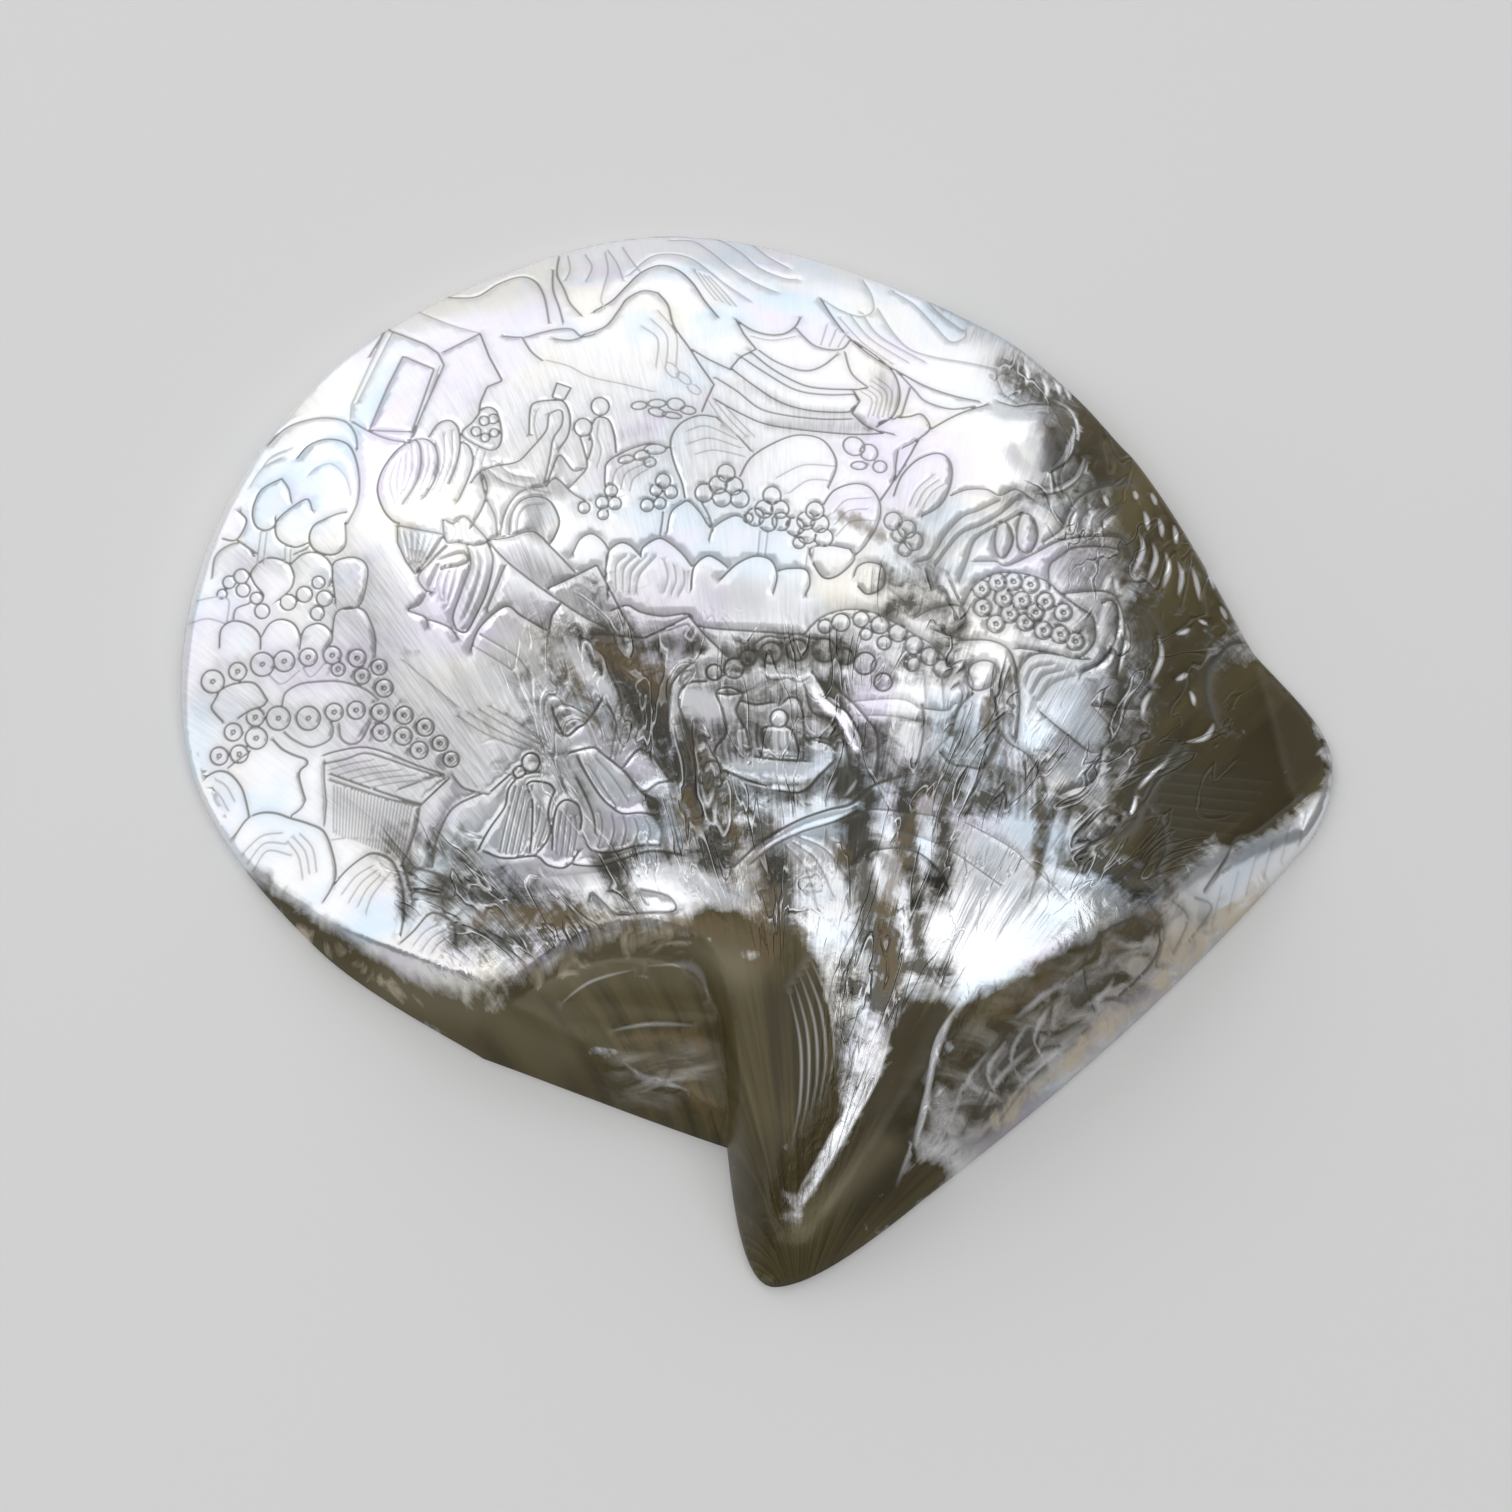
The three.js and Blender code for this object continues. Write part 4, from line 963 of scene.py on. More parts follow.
HINGE = {
    "lines on the rim": hatch([(1222, 888), (1212, 926)], [(1306, 812), (1298, 846)], 6, TRACE),
    "oval": form(
        (1094, 1010), (1084, 970), (1098, 938), (1130, 920), (1152, 924), (1160, 940), (1150, 966),
        (1120, 996),
    ),
    "crease fan": hatch([(1150, 905), (1164, 930), (1156, 966)], [(1196, 898), (1212, 908), (1190, 940)], 3),
    "ridges": gleams(
        [(1000, 1102), (988, 1072), (1006, 1040)], [(1050, 1066), (1034, 1040), (1052, 1004)], 3,
    ),
    "ridges 2": gleams(
        [(948, 1130), (962, 1090), (990, 1050)], [(1010, 1100), (1040, 1066), (1080, 1036)], 3,
    ),
    "ridges 3": gleams([(1014, 1020), (1044, 996), (1066, 984)], [(1080, 1010), (1104, 994), (1116, 976)], 2),
    "lower dark fold": cut((978, 1110), (990, 1092), (1012, 1086)),
    "upper dark fold": cut((1020, 1070), (1040, 1050), (1060, 1046)),
    "folds": hatch([(944, 1140), (968, 1080), (1004, 1030)], [(1000, 1120), (1040, 1070), (1090, 1026)], 4),
}

CARVING = [
    UPPER_LEFT, MOUNTAIN, PAVILION, FIGURES_ABOVE, FAN_PLANT, FAN, ROOFS,
    TREES, BIG_LEAVES, KNOB, LEFT_MOUND, CANOPIES, BEAD_ROWS, LOWER_LEFT,
    HOUSE, FIGURES_BELOW, MEDALLION, STANDING, BEAD_CHAIN, WILLOW, RIGHT_SIDE,
    WING, BEAK, HINGE,
]
strokes = [stroke for region in CARVING for part in region.values() for stroke in part]

# Areas of the face that differ from plain nacre, some in their own colour, some by painted shade, dark
# reflection and light, as paths of pixels with a half width and a strength
AREAS = {
    "olive": {
        "left roll, top": ([(716, 974), (760, 1000)], 48, 1),
        "left roll": ([(764, 1000), (784, 1050), (778, 1110)], 60, 1),
        "inner side": ([(736, 990), (738, 1050), (742, 1110)], 30, 1),
        "below the bank": ([(706, 924), (740, 926), (776, 950)], 22, 0.95),
        "right of the tip": ([(876, 1216), (926, 1180)], 24, 1),
        "above the rim of the wing": ([(1308, 772), (1270, 806), (1230, 828)], 24, 1),
        "left roll, inner": ([(816, 1026), (818, 1060), (822, 1110), (790, 1176)], 24, 1),
        "left roll, lower": ([(766, 1100), (756, 1160), (750, 1220)], 44, 1),
        "tip of the beak": ([(760, 1250), (800, 1268), (840, 1246)], 50, 1),
        "right roll": ([(930, 1020), (914, 1060), (902, 1106)], 35, 1),
        "right roll, lower": ([(906, 1110), (880, 1166), (838, 1226)], 34, 1),
        "edge at the hinge": ([(950, 1030), (990, 1006), (1050, 974), (1110, 944), (1150, 922)], 19, 0.8),
        "upper hinge side": ([(956, 1070), (974, 1040), (1040, 1000)], 26, 1),
        "right bank of the furrow": ([(886, 1090), (868, 1130), (838, 1180), (816, 1216)], 18, 1),
        "left roll, shoulder": ([(790, 950), (806, 980), (816, 1020)], 20, 1),
        "roll above the ear": ([(530, 1016), (580, 974), (630, 956), (700, 958), (740, 974)], 31, 1),
        "ear": ([(536, 1022), (600, 1016), (700, 1012)], 60, 1),
        "ear, right": ([(640, 1060), (722, 1076)], 42, 1),
        "foot of the ear": ([(480, 1040), (560, 1068), (640, 1096), (730, 1128)], 48, 1),
        "left side": ([(258, 900), (330, 954), (400, 996), (470, 1024)], 25, 0.9),
        "wing": ([(1262, 690), (1288, 734), (1236, 780), (1160, 838)], 45, 1),
        "wing, inner": ([(1236, 690), (1200, 760), (1170, 830)], 40, 0.9),
        "right rim": ([(1094, 440), (1150, 520), (1196, 610)], 50, 0.75),
        "right": ([(1160, 620), (1190, 700), (1160, 780), (1144, 840)], 46, 0.75),
    },
    # Pale cream at the rims and rolls, in part a painted highlight
    "pale": {
        "rim at the wing": ([(1250, 900), (1160, 970)], 26, 0.8),
        "rim at the hinge": ([(1150, 985), (1080, 1050), (1000, 1120)], 12, 0.6),
        "roll above the ear": ([(540, 980), (600, 944), (680, 938)], 16, 0.45),
        "left side": ([(260, 890), (330, 950), (420, 1004)], 12, 0.45),
    },
    "brown": {
        "top of the crease": ([(604, 650), (640, 668), (660, 690)], 18, 0.8),
        "below the path": ([(822, 834), (846, 856)], 9, 0.7),
        "crease": ([(604, 630), (650, 680), (694, 750), (736, 830)], 14, 0.45),
        "left crease": ([(556, 650), (588, 700), (596, 760)], 12, 0.5),
        "streak 1": ([(932, 800), (900, 850), (884, 910), (892, 985)], 14, 0.8),
        "streak 2": ([(786, 830), (800, 880), (804, 940)], 10, 0.5),
        "streak 3": ([(1040, 800), (1036, 860), (1020, 900)], 8, 0.5),
        "bank": ([(748, 860), (760, 910), (764, 960)], 20, 0.9),
        "fleck 1": ([(840, 516), (860, 522), (878, 536)], 8, 0.8),
        "fleck 2": ([(986, 700), (988, 730)], 7, 1),
        "fleck 3": ([(404, 650), (416, 654)], 5, 0.6),
        "fringe": ([(480, 916), (560, 918), (640, 922), (720, 928), (752, 944)], 13, 0.8),
        "pit": ([(690, 1036), (700, 1046)], 9, 1),
        "patch on the ear": ([(694, 1092), (716, 1118)], 14, 0.8),
        "stain on the ear": ([(620, 1040), (690, 1034)], 8, 0.7),
        "hinge": ([(1000, 1010), (1080, 960), (1170, 900)], 12, 0.5),
        "right rim": ([(1090, 430), (1160, 520), (1216, 620)], 24, 0.3),
        "end of the sleeve": ([(682, 800), (690, 830)], 14, 0.8),
    },
    # Painted shade and painted dark reflection of the surroundings, darkening the nacre
    "painted_dark": {
        "middle": ([(600, 720), (700, 730), (800, 740), (900, 750)], 100, 0.5),
        "crease": ([(604, 650), (646, 700), (690, 770), (716, 850)], 34, 1),
        "roof shade": ([(610, 650), (690, 646)], 18, 0.6),
        "petals": ([(740, 656), (840, 652)], 22, 0.75),
        "below the medallion": ([(740, 790), (850, 780)], 24, 0.6),
        "right of the medallion": ([(830, 690), (844, 740), (846, 800)], 21, 1),
        "band 1": ([(856, 790), (858, 860), (872, 920), (890, 1000)], 22, 1),
        "band 2": ([(904, 800), (914, 870), (914, 950)], 15, 1),
        "band 3": ([(944, 790), (944, 880)], 12, 0.85),
        "band 4": ([(1042, 790), (1038, 900)], 8, 0.8),
        "band across": ([(860, 770), (960, 780)], 20, 0.7),
        "bank": ([(762, 830), (780, 880), (778, 930)], 24, 1),
        "lower left": ([(450, 890), (500, 896), (570, 920)], 30, 0.75),
        "house": ([(400, 850), (450, 850), (480, 890)], 34, 0.45),
        "robes": ([(640, 846), (700, 840)], 28, 0.6),
        "below the robes": ([(612, 862), (628, 896)], 18, 1),
        "end of the robes": ([(650, 800), (666, 850)], 14, 0.8),
        "above the path": ([(730, 800), (750, 812)], 13, 0.9),
        "left of the leaves": ([(892, 608), (908, 602)], 14, 0.85),
        "loops": ([(466, 936), (540, 942)], 22, 0.75),
        "above the right roll": ([(900, 962), (944, 972)], 16, 0.85),
        "foot of the rock": ([(1070, 862), (1120, 866), (1142, 892)], 19, 1),
        "left of the robes": ([(412, 860), (408, 910)], 12, 0.6),
        "above the robes": ([(460, 840), (480, 876)], 16, 0.6),
        "behind the mushroom": ([(850, 700), (880, 740)], 16, 0.5),
        "by the knot": ([(696, 800), (706, 850)], 18, 0.6),
        "right of the shelf": ([(1112, 700), (1118, 770)], 19, 0.75),
        "behind the leaves": ([(1112, 640), (1122, 700)], 18, 0.8),
        "below the standing figures": ([(920, 788), (960, 800), (996, 800)], 18, 0.8),
        "ground by the robes": ([(566, 640), (570, 700), (600, 740)], 30, 0.5),
        "second roof": ([(590, 590), (610, 630)], 16, 0.35),
        "right": ([(1130, 480), (1180, 560), (1190, 640), (1170, 760), (1144, 840)], 54, 1),
        "rim": ([(1084, 400), (1100, 440), (1140, 480)], 34, 1),
        "inner right": ([(1060, 500), (1096, 560), (1104, 660), (1110, 740), (1084, 810)], 30, 0.35),
        "beads on the right": ([(890, 580), (930, 580), (954, 630), (952, 700)], 22, 0.55),
        "below the knob": ([(1040, 494), (1072, 478)], 15, 0.7),
        "willow": ([(930, 540), (1040, 540)], 26, 0.12),
        "rim on the right": ([(1014, 378), (1066, 404)], 20, 0.7),
        "fill of the beak": ([(850, 1000), (846, 1060), (820, 1140)], 30, 0.4),
        "head of the furrow": ([(848, 968), (854, 990)], 18, 0.85),
        "foot of the furrow": ([(866, 1080), (840, 1120)], 13, 0.6),
        "below the bank": ([(790, 860), (850, 930)], 36, 0.4),
        "below the mushroom": ([(884, 920), (888, 1000)], 29, 1),
        "right of the beads": ([(1008, 680), (984, 770), (1020, 790), (1064, 740)], 20, 0.55),
        "mushroom": ([(930, 870), (934, 900)], 16, 0.8),
        "lower right": ([(1056, 806), (1084, 812), (1090, 860)], 17, 0.75),
    },
    # Where that painted shade and dark reflection is taken away again
    "clear": {
        "sleeve": ([(586, 742), (616, 800), (654, 836)], 14, 0.8),
        "kneeling figure": ([(628, 762), (656, 784)], 11, 0.7),
        "medallion": ([(686, 704), (716, 706)], 12, 0.8),
        "frame, left": ([(676, 690), (673, 750)], 5, 0.8),
        "frame, right": ([(812, 690), (838, 716), (856, 750)], 3.5, 1),
        "boat": ([(738, 766), (800, 772), (846, 750)], 8, 0.6),
        "ground on the right": ([(860, 706), (950, 700)], 14, 0.6),
        "left of the standing figure": ([(912, 734), (916, 748)], 11, 0.8),
        "path": ([(742, 866), (790, 830), (856, 804)], 6, 0.9),
        "ground below": ([(640, 880), (700, 884)], 12, 0.8),
        "folds under the roof": ([(570, 654), (606, 690)], 6, 0.8),
        "head of the mushroom": ([(886, 866), (896, 896)], 12, 0.7),
        "ground below the path": ([(800, 846), (822, 880), (830, 920)], 14, 0.7),
        "stalk of the mushroom": ([(900, 900), (910, 950)], 6, 0.6),
        "seated figure": ([(776, 716), (782, 740)], 10, 0.5),
        "right of band 2": ([(924, 800), (924, 870)], 6, 0.8),
        "smooth ground by the hinge": ([(1050, 890), (1074, 896)], 24, 0.9),
        "leaf on the right": ([(1100, 606), (1110, 646)], 8, 0.6),
        "rim leaves": ([(1076, 516), (1110, 516)], 8, 0.4),
        "rock": ([(1040, 690), (1080, 720)], 18, 0.6),
        "rim at the wing": ([(1300, 820), (1240, 874), (1204, 900)], 19, 1),
    },
    "shade": {
        "knob": ([(1054, 420), (1058, 452)], 17, 0.95),
        "below the knob": ([(1010, 500), (1050, 486), (1080, 470)], 14, 0.7),
        "beam": ([(1070, 566), (1120, 572)], 22, 0.8),
        "rim leaves": ([(1084, 520), (1130, 510)], 26, 0.7),
        "leaves on the right": ([(1100, 620), (1130, 640)], 30, 0.7),
        "rock": ([(1040, 680), (1100, 690), (1070, 770)], 36, 0.5),
        "shelf": ([(1116, 690), (1130, 740), (1110, 790)], 22, 0.7),
        "standing figures": ([(940, 720), (1000, 770)], 34, 0.35),
        "lower middle": ([(780, 880), (860, 900), (960, 860), (1050, 850)], 34, 0.3),
        "left of the robes": ([(400, 790), (460, 860)], 26, 0.35),
        "middle": ([(500, 450), (620, 440), (700, 440)], 80, 0.3),
        "inner left": ([(370, 600), (390, 690), (450, 760)], 56, 0.5),
        "left": ([(230, 690), (300, 690)], 60, 0.2),
        "far right": ([(930, 540), (930, 600)], 46, 0.45),
        "arch": ([(535, 506), (536, 530)], 16, 0.8),
        "below the first figure": ([(486, 476), (560, 490)], 13, 0.7),
        "by the awning": ([(496, 500), (506, 524)], 9, 0.5),
        "fan blade": ([(410, 536), (420, 558)], 14, 0.6),
        "first roof": ([(516, 552), (560, 576), (596, 606)], 16, 0.6),
        "second roof": ([(584, 580), (610, 620)], 12, 0.6),
        "third roof": ([(630, 644), (700, 640)], 14, 0.6),
        "behind the figures": ([(620, 436), (648, 430)], 13, 0.45),
        "below the figures": ([(560, 450), (556, 480)], 11, 0.6),
        "tier 3": ([(770, 424), (870, 428)], 8, 0.5),
        "tier 2": ([(740, 384), (800, 412), (850, 414)], 6, 0.35),
        "far side": ([(880, 376), (892, 400)], 9, 0.4),
        "leaf 1": ([(692, 470), (712, 480)], 20, 0.3),
        "leaf 2": ([(618, 476), (640, 470)], 16, 0.4),
        "fan leaves": ([(418, 470), (450, 470)], 14, 0.35),
        "house front": ([(340, 800), (400, 830)], 20, 0.35),
        "house roof": ([(340, 766), (420, 784)], 14, 0.5),
        "canopies": ([(230, 560), (300, 566)], 14, 0.3),
        "bead rows": ([(210, 700), (300, 720), (430, 740)], 26, 0.35),
        "bead row 1": ([(220, 664), (370, 664)], 12, 0.3),
        "ribbon": ([(476, 560), (470, 610)], 10, 0.5),
        "ground by the roofs": ([(500, 600), (560, 630)], 24, 0.4),
        "willow": ([(940, 530), (1030, 530)], 26, 0.3),
        "bead mass": ([(990, 600), (1070, 630)], 24, 0.35),
        "rim": ([(1010, 360), (1050, 390)], 24, 0.7),
        "far rim": ([(940, 310), (990, 340)], 14, 0.4),
    },
    "bare": {
        "hinge side": ([(1140, 960), (1080, 1010), (1018, 1066), (974, 1114)], 44, 1),
        "ear": ([(630, 1074), (662, 1084), (692, 1062)], 20, 0.8),
        "rim at the wing": ([(1172, 906), (1200, 930), (1160, 960)], 25, 0.75),
    },
    # Painted light: a lighter olive where the rolls face the light
    "painted_light": {
        "roll above the ear": ([(540, 970), (620, 950), (700, 956), (740, 966)], 24, 0.9),
        "foot of the ear": ([(480, 1000), (560, 1046)], 30, 0.6),
        "left side": ([(390, 985), (470, 1010)], 24, 0.8),
        "tip of the beak": ([(800, 1226), (850, 1184), (886, 1146)], 15, 0.7),
    },
    # Painted shade: a darker olive where the rolls and the wing turn away from the light
    "olive_shade": {
        "right roll": ([(920, 1040), (900, 1106), (870, 1170)], 40, 0.9),
        "left roll": ([(790, 1000), (800, 1080)], 30, 0.5),
        "wing": ([(1300, 720), (1250, 770), (1180, 810)], 60, 0.8),
        "foot of the left roll": ([(760, 1160), (756, 1230)], 30, 0.5),
    },
    "rough": {
        "fill of the beak": ([(842, 985), (850, 1050), (836, 1110), (800, 1176), (786, 1216)], 28, 1),
        "right of the beak": ([(985, 1000), (960, 1060), (925, 1150)], 22, 0.9),
        "hinge side": ([(1110, 950), (1040, 1030), (960, 1120)], 40, 1),
        "oval at the hinge": ([(1120, 960), (1140, 980)], 34, 0.6),
        "ear": ([(612, 1060), (660, 1080), (704, 1100)], 30, 0.8),
        "loops": ([(440, 966), (500, 976)], 26, 0.6),
        "crease": ([(590, 640), (660, 760), (760, 870), (860, 930)], 50, 0.4),
    },
    "streaky": {
        "middle": ([(560, 700), (700, 730), (860, 740), (1000, 760)], 120, 0.9),
        "lower middle": ([(600, 850), (760, 890), (900, 900), (1060, 880)], 70, 1),
        "beak": ([(800, 960), (830, 1080), (800, 1180)], 60, 0.7),
        "left": ([(430, 660), (470, 800), (500, 880)], 70, 0.5),
    },
}

# Round swellings on the face: centre and radii in pixels, height in millimetres
SWELLING_POWER = 1.4
SWELLINGS = {
    "knob": ((1050, 438), (30, 38), 0.55),
    "mushroom": ((908, 884), (40, 34), 0.8),
    "smooth ground by the hinge": ((1076, 886), (52, 34), 0.7),
}


def in_photo(points):
    """Pixels of the photograph at which points in millimetres show."""
    from_camera = points - CAMERA
    depth = -(from_camera @ BACK)
    scale = CAMERA_DISTANCE / PIXEL / depth
    return np.stack([MIDDLE + (from_camera @ RIGHT) * scale, MIDDLE - (from_camera @ UP) * scale], 1)


def area(name, pixels):
    """How strongly each pixel belongs to a kind of area."""
    value = np.zeros(len(pixels))
    for path, width, strength in AREAS[name].values():
        distance, _ = along_path(pixels, path)
        value = np.maximum(value, strength * np.exp(-(distance / width) ** 2))
    return value


def place_strokes():
    """The strokes on the plan: points a step apart, their normals to the left, and their styles."""
    sizes = []
    pixels = []
    for points, _ in strokes:
        dense = even(points, DENSE_PIXELS)
        sizes.append(len(dense))
        pixels.append(dense)
    placed = np.split(on_valve(np.concatenate(pixels)), np.cumsum(sizes)[:-1])
    made = []
    for line, (_, style) in zip(placed, strokes):
        line = even(line, STROKE_STEP)
        along = np.gradient(line, axis=0)
        along /= np.maximum(np.linalg.norm(along, axis=1), TINY)[:, None]
        left = np.stack([-along[:, 1], along[:, 0]], 1)
        rows = np.tile(np.array(style, float), (len(line), 1))
        if style.tone > 0:
            pixel = in_photo(np.column_stack([line, surface.heights(line)]))
            rows[:, 1] *= 1 + BOLDER * area("painted_dark", pixel)
        if style.tone < 0:
            taper = np.sin(np.linspace(0, math.pi, len(line)))
            rows[:, 1] *= mix(TAPER_END, 1, taper)
            rows[:, -1] *= taper
        made.append((line, left, rows))
    return made


def keep_apart(points):
    """The points in turn, without those that come too close to one kept before."""
    taken = {}
    kept = []
    for x, y in points:
        i, j = int(x // APART), int(y // APART)
        near = (
            p for a in (i - 1, i, i + 1) for b in (j - 1, j, j + 1) for p in taken.get((a, b), ())
        )
        if all((p[0] - x) ** 2 + (p[1] - y) ** 2 >= APART ** 2 for p in near):
            taken.setdefault((i, j), []).append((x, y))
            kept.append((x, y))
    return kept


placed_strokes = place_strokes()


def tree_of(points):
    tree = kdtree.KDTree(len(points))
    for i, (x, y) in enumerate(points):
        tree.insert((x, y, 0), i)
    tree.balance()
    return tree


line_points = np.concatenate([line for line, _, _ in placed_strokes])
line_left = np.concatenate([left for _, left, _ in placed_strokes])
line_style = np.concatenate([rows for _, _, rows in placed_strokes])
line_tree = tree_of(line_points)


def engraving(xy):
    """How far the engraving lies below the outer side, and the painted shade and highlights it lays on the
    colour.
    """
    index = np.zeros(len(xy), int)
    distance = np.zeros(len(xy))
    for k, (x, y) in enumerate(xy):
        _, index[k], distance[k] = line_tree.find((x, y, 0))
    style = Style(*line_style[index].T)
    to_left = ((xy - line_points[index]) * line_left[index]).sum(1) > 0
    profile = np.clip(1 - distance / style.half, 0, 1)
    amount = np.where(to_left, style.outside, style.inside)
    width = np.where(to_left, style.outside_width, style.inside_width)
    fall = style.depth * profile + amount * np.exp(-distance / width)
    dark = np.maximum(style.tone, 0)
    # Painted shade in the groove and beside it, and a painted highlight along glint lines
    return fall, {
        "groove_shade": dark * profile,
        "line_shade": dark * np.exp(-distance / LINE_SHADE_WIDTH),
        "glint": np.maximum(-style.tone, 0) * np.clip(2 * profile, 0, 1),
    }


def swellings(pixels):
    total = np.zeros(len(pixels))
    for centre, radii, height in SWELLINGS.values():
        share = np.linalg.norm((pixels - centre) / radii, axis=1)
        total += height * np.clip(1 - share ** 2, 0, 1) ** SWELLING_POWER
    return total


def unevenness(points, pixels):
    """Slight waves left by hand polishing, long ones that run from the beak, and rough broken nacre."""
    streaky, rough = area("streaky", pixels), area("rough", pixels)
    away = points[:, :2] - BEAK_ROOT
    angle, distance = np.arctan2(away[:, 0], away[:, 1]), np.hypot(away[:, 0], away[:, 1])
    total = np.zeros(len(points))
    for k in range(len(points)):
        x, y = points[k, :2]
        waves = WAVE_HEIGHT * noise.noise((x / WAVE_LENGTH, y / WAVE_LENGTH, 0))
        rays = RAY_HEIGHT * noise.noise((angle[k] * RAY_COUNT, distance[k] / RAY_LENGTH, RAY_SLICE))
        total[k] = waves + streaky[k] * rays
        if rough[k] > LEAST_ROUGH:
            place = (x / ROUGH_LENGTH, y / ROUGH_LENGTH, ROUGH_SLICE)
            total[k] += rough[k] * ROUGH_HEIGHT * noise.fractal(place, *ROUGH_FRACTAL)
    return total


def face_points():
    """Points of the outer side in the plan: outline, engraving, then fill that is finer on steep ground."""
    outline = sample(OUTLINE, MESHED_FINER)["xy"]
    rows = [line for line, _, _ in placed_strokes]
    for side in (1, -1):
        rows += [line + side * style[:, 1:2] * left for line, left, style in placed_strokes]
    rows += [sample(EAR_LINE, MESHED_FINER)["xy"]]
    engraved = np.array(keep_apart(np.concatenate(rows)))
    engraved = engraved[nearest(OUTLINE_FINE, engraved)["distance"] > APART]
    taken = tree_of(np.concatenate([engraved, outline]))
    fill = []
    limits = [steepness for steepness, _ in FILL_LEVELS[1:]] + [np.inf]
    for (steepness, spacing), limit in zip(FILL_LEVELS, limits):
        xs = np.arange(outline_low[0], outline_high[0], spacing)
        ys = np.arange(outline_low[1], outline_high[1], spacing * math.sin(rad(60)))
        xy = grid_points(xs, ys, spacing / 2)
        steep = np.linalg.norm(surface.slopes(xy), axis=1)
        steep = np.maximum(steep, area("rough", in_photo(np.column_stack([xy, surface.heights(xy)]))))
        xy = xy[(steep >= steepness) & (steep < limit)]
        xy = xy[nearest(OUTLINE_FINE, xy)["distance"] > spacing * FILL_CLEARANCE]
        for x, y in xy:
            if taken.find((x, y, 0))[2] > spacing * FILL_CLEARANCE:
                fill.append((x, y))
    return outline, np.concatenate([engraved, np.array(fill)])


def triangulate(points, *loops):
    """Triangles between points of the plan. The points begin with closed loops of the given lengths."""
    edges = []
    for count in loops:
        start = len(edges)
        edges += [(start + i, start + (i + 1) % count) for i in range(count)]
    plan = [Vector(p) for p in points]
    _, _, faces, origin, _, _ = geometry.delaunay_2d_cdt(plan, edges, [], 0, SAME_PLACE)
    first = np.array([found[0] if found else -1 for found in origin])
    assert len(first) == len(points) and (np.sort(first) == np.arange(len(points))).all()
    return first[np.array(faces)]


def face_mesh():
    """The outer side: its vertices in millimetres, triangles, marks and the length of its outline."""
    outline, inner = face_points()
    count = len(outline)
    points = np.concatenate([outline, inner])
    faces = triangulate(points, count)
    rim = (faces < count).all(1)
    middle = points[faces[rim]].mean(1)
    outside = np.nonzero(rim)[0][nearest(OUTLINE_FINE, middle)["distance"] < 0]
    faces = np.delete(faces, outside, axis=0)
    height = np.full(len(points), float(WALL_FOOT))
    height[count:] = outer_height(inner)
    normal = np.column_stack([-surface.slopes(points), np.ones(len(points))])
    normal /= np.linalg.norm(normal, axis=1)[:, None]
    depth, marks = engraving(points)
    whole = np.column_stack([points, height])
    pixels = in_photo(whole)
    depth -= swellings(pixels) + unevenness(whole, pixels)
    depth *= np.clip(nearest(OUTLINE_FINE, points)["distance"] / EDGE_FADE, 0, 1)
    return whole - depth[:, None] * normal, faces, marks, count


def hollow_edge(angle):
    facing = np.cos(angle - rad(HINGE_NORMAL_DEG))
    safe = np.maximum(facing, PLATE_FACING)
    straight_edge = fillet_min(HOLLOW_RADIUS, HINGE_PLATE / safe, PLATE_ROUNDING)
    return np.where(facing < PLATE_FACING, HOLLOW_RADIUS, straight_edge)


def hollow_mesh():
    """The hollow: its vertices in rings from the top down to its edge, and its triangles."""
    angle = np.arange(HOLLOW_STEPS) / HOLLOW_STEPS * 2 * math.pi
    edge = hollow_edge(angle)
    rings = []
    for k in range(1, HOLLOW_RINGS + 1):
        share = math.sin(k / HOLLOW_RINGS * math.pi / 2)
        radius = edge * share
        z = np.full(HOLLOW_STEPS, HOLLOW_HEIGHT * (1 - share ** HOLLOW_POWER))
        rings.append(np.column_stack([radius * np.cos(angle), radius * np.sin(angle), z]))
    faces = []
    for i in range(HOLLOW_STEPS):
        j = (i + 1) % HOLLOW_STEPS
        faces.append((0, 1 + j, 1 + i))
        for k in range(HOLLOW_RINGS - 1):
            a, b = 1 + k * HOLLOW_STEPS, 1 + (k + 1) * HOLLOW_STEPS
            faces += [(a + i, a + j, b + j), (a + i, b + j, b + i)]
    return np.concatenate([[[0, 0, HOLLOW_HEIGHT]], *rings]), np.array(faces)


def rest_faces(outline, loop):
    """Triangles of the level ring that the valve rests on, from its outline to the hollow's edge."""
    points = np.concatenate([outline, loop])
    faces = triangulate(points, len(outline), len(loop))
    in_outline = nearest(OUTLINE_FINE, points[faces].mean(1))["distance"] > 0
    in_hollow = (faces >= len(outline)).all(1)
    return faces[in_outline & ~in_hollow][:, ::-1]


def write_marks(mesh, marks, seen, hollow):
    """The engraving's marks and the kinds of areas, as one attribute each."""
    pixels = in_photo(seen)
    marks.update({name: area(name, pixels) for name in AREAS})
    # The painted shade and dark reflection, less where it is cleared
    marks["painted_dark"] = np.clip(marks["painted_dark"] - marks.pop("clear"), 0, 1)
    for name, mark in marks.items():
        value = np.zeros(len(seen) + len(hollow))
        value[:len(mark)] = mark
        if name == "olive":
            out = np.hypot(*hollow[:, :2].T) / HOLLOW_RADIUS
            value[len(seen):] = UNDERSIDE_OLIVE * out ** UNDERSIDE_OLIVE_POWER
        mesh.attributes.new(name, "FLOAT", "POINT").data.foreach_set("value", value)


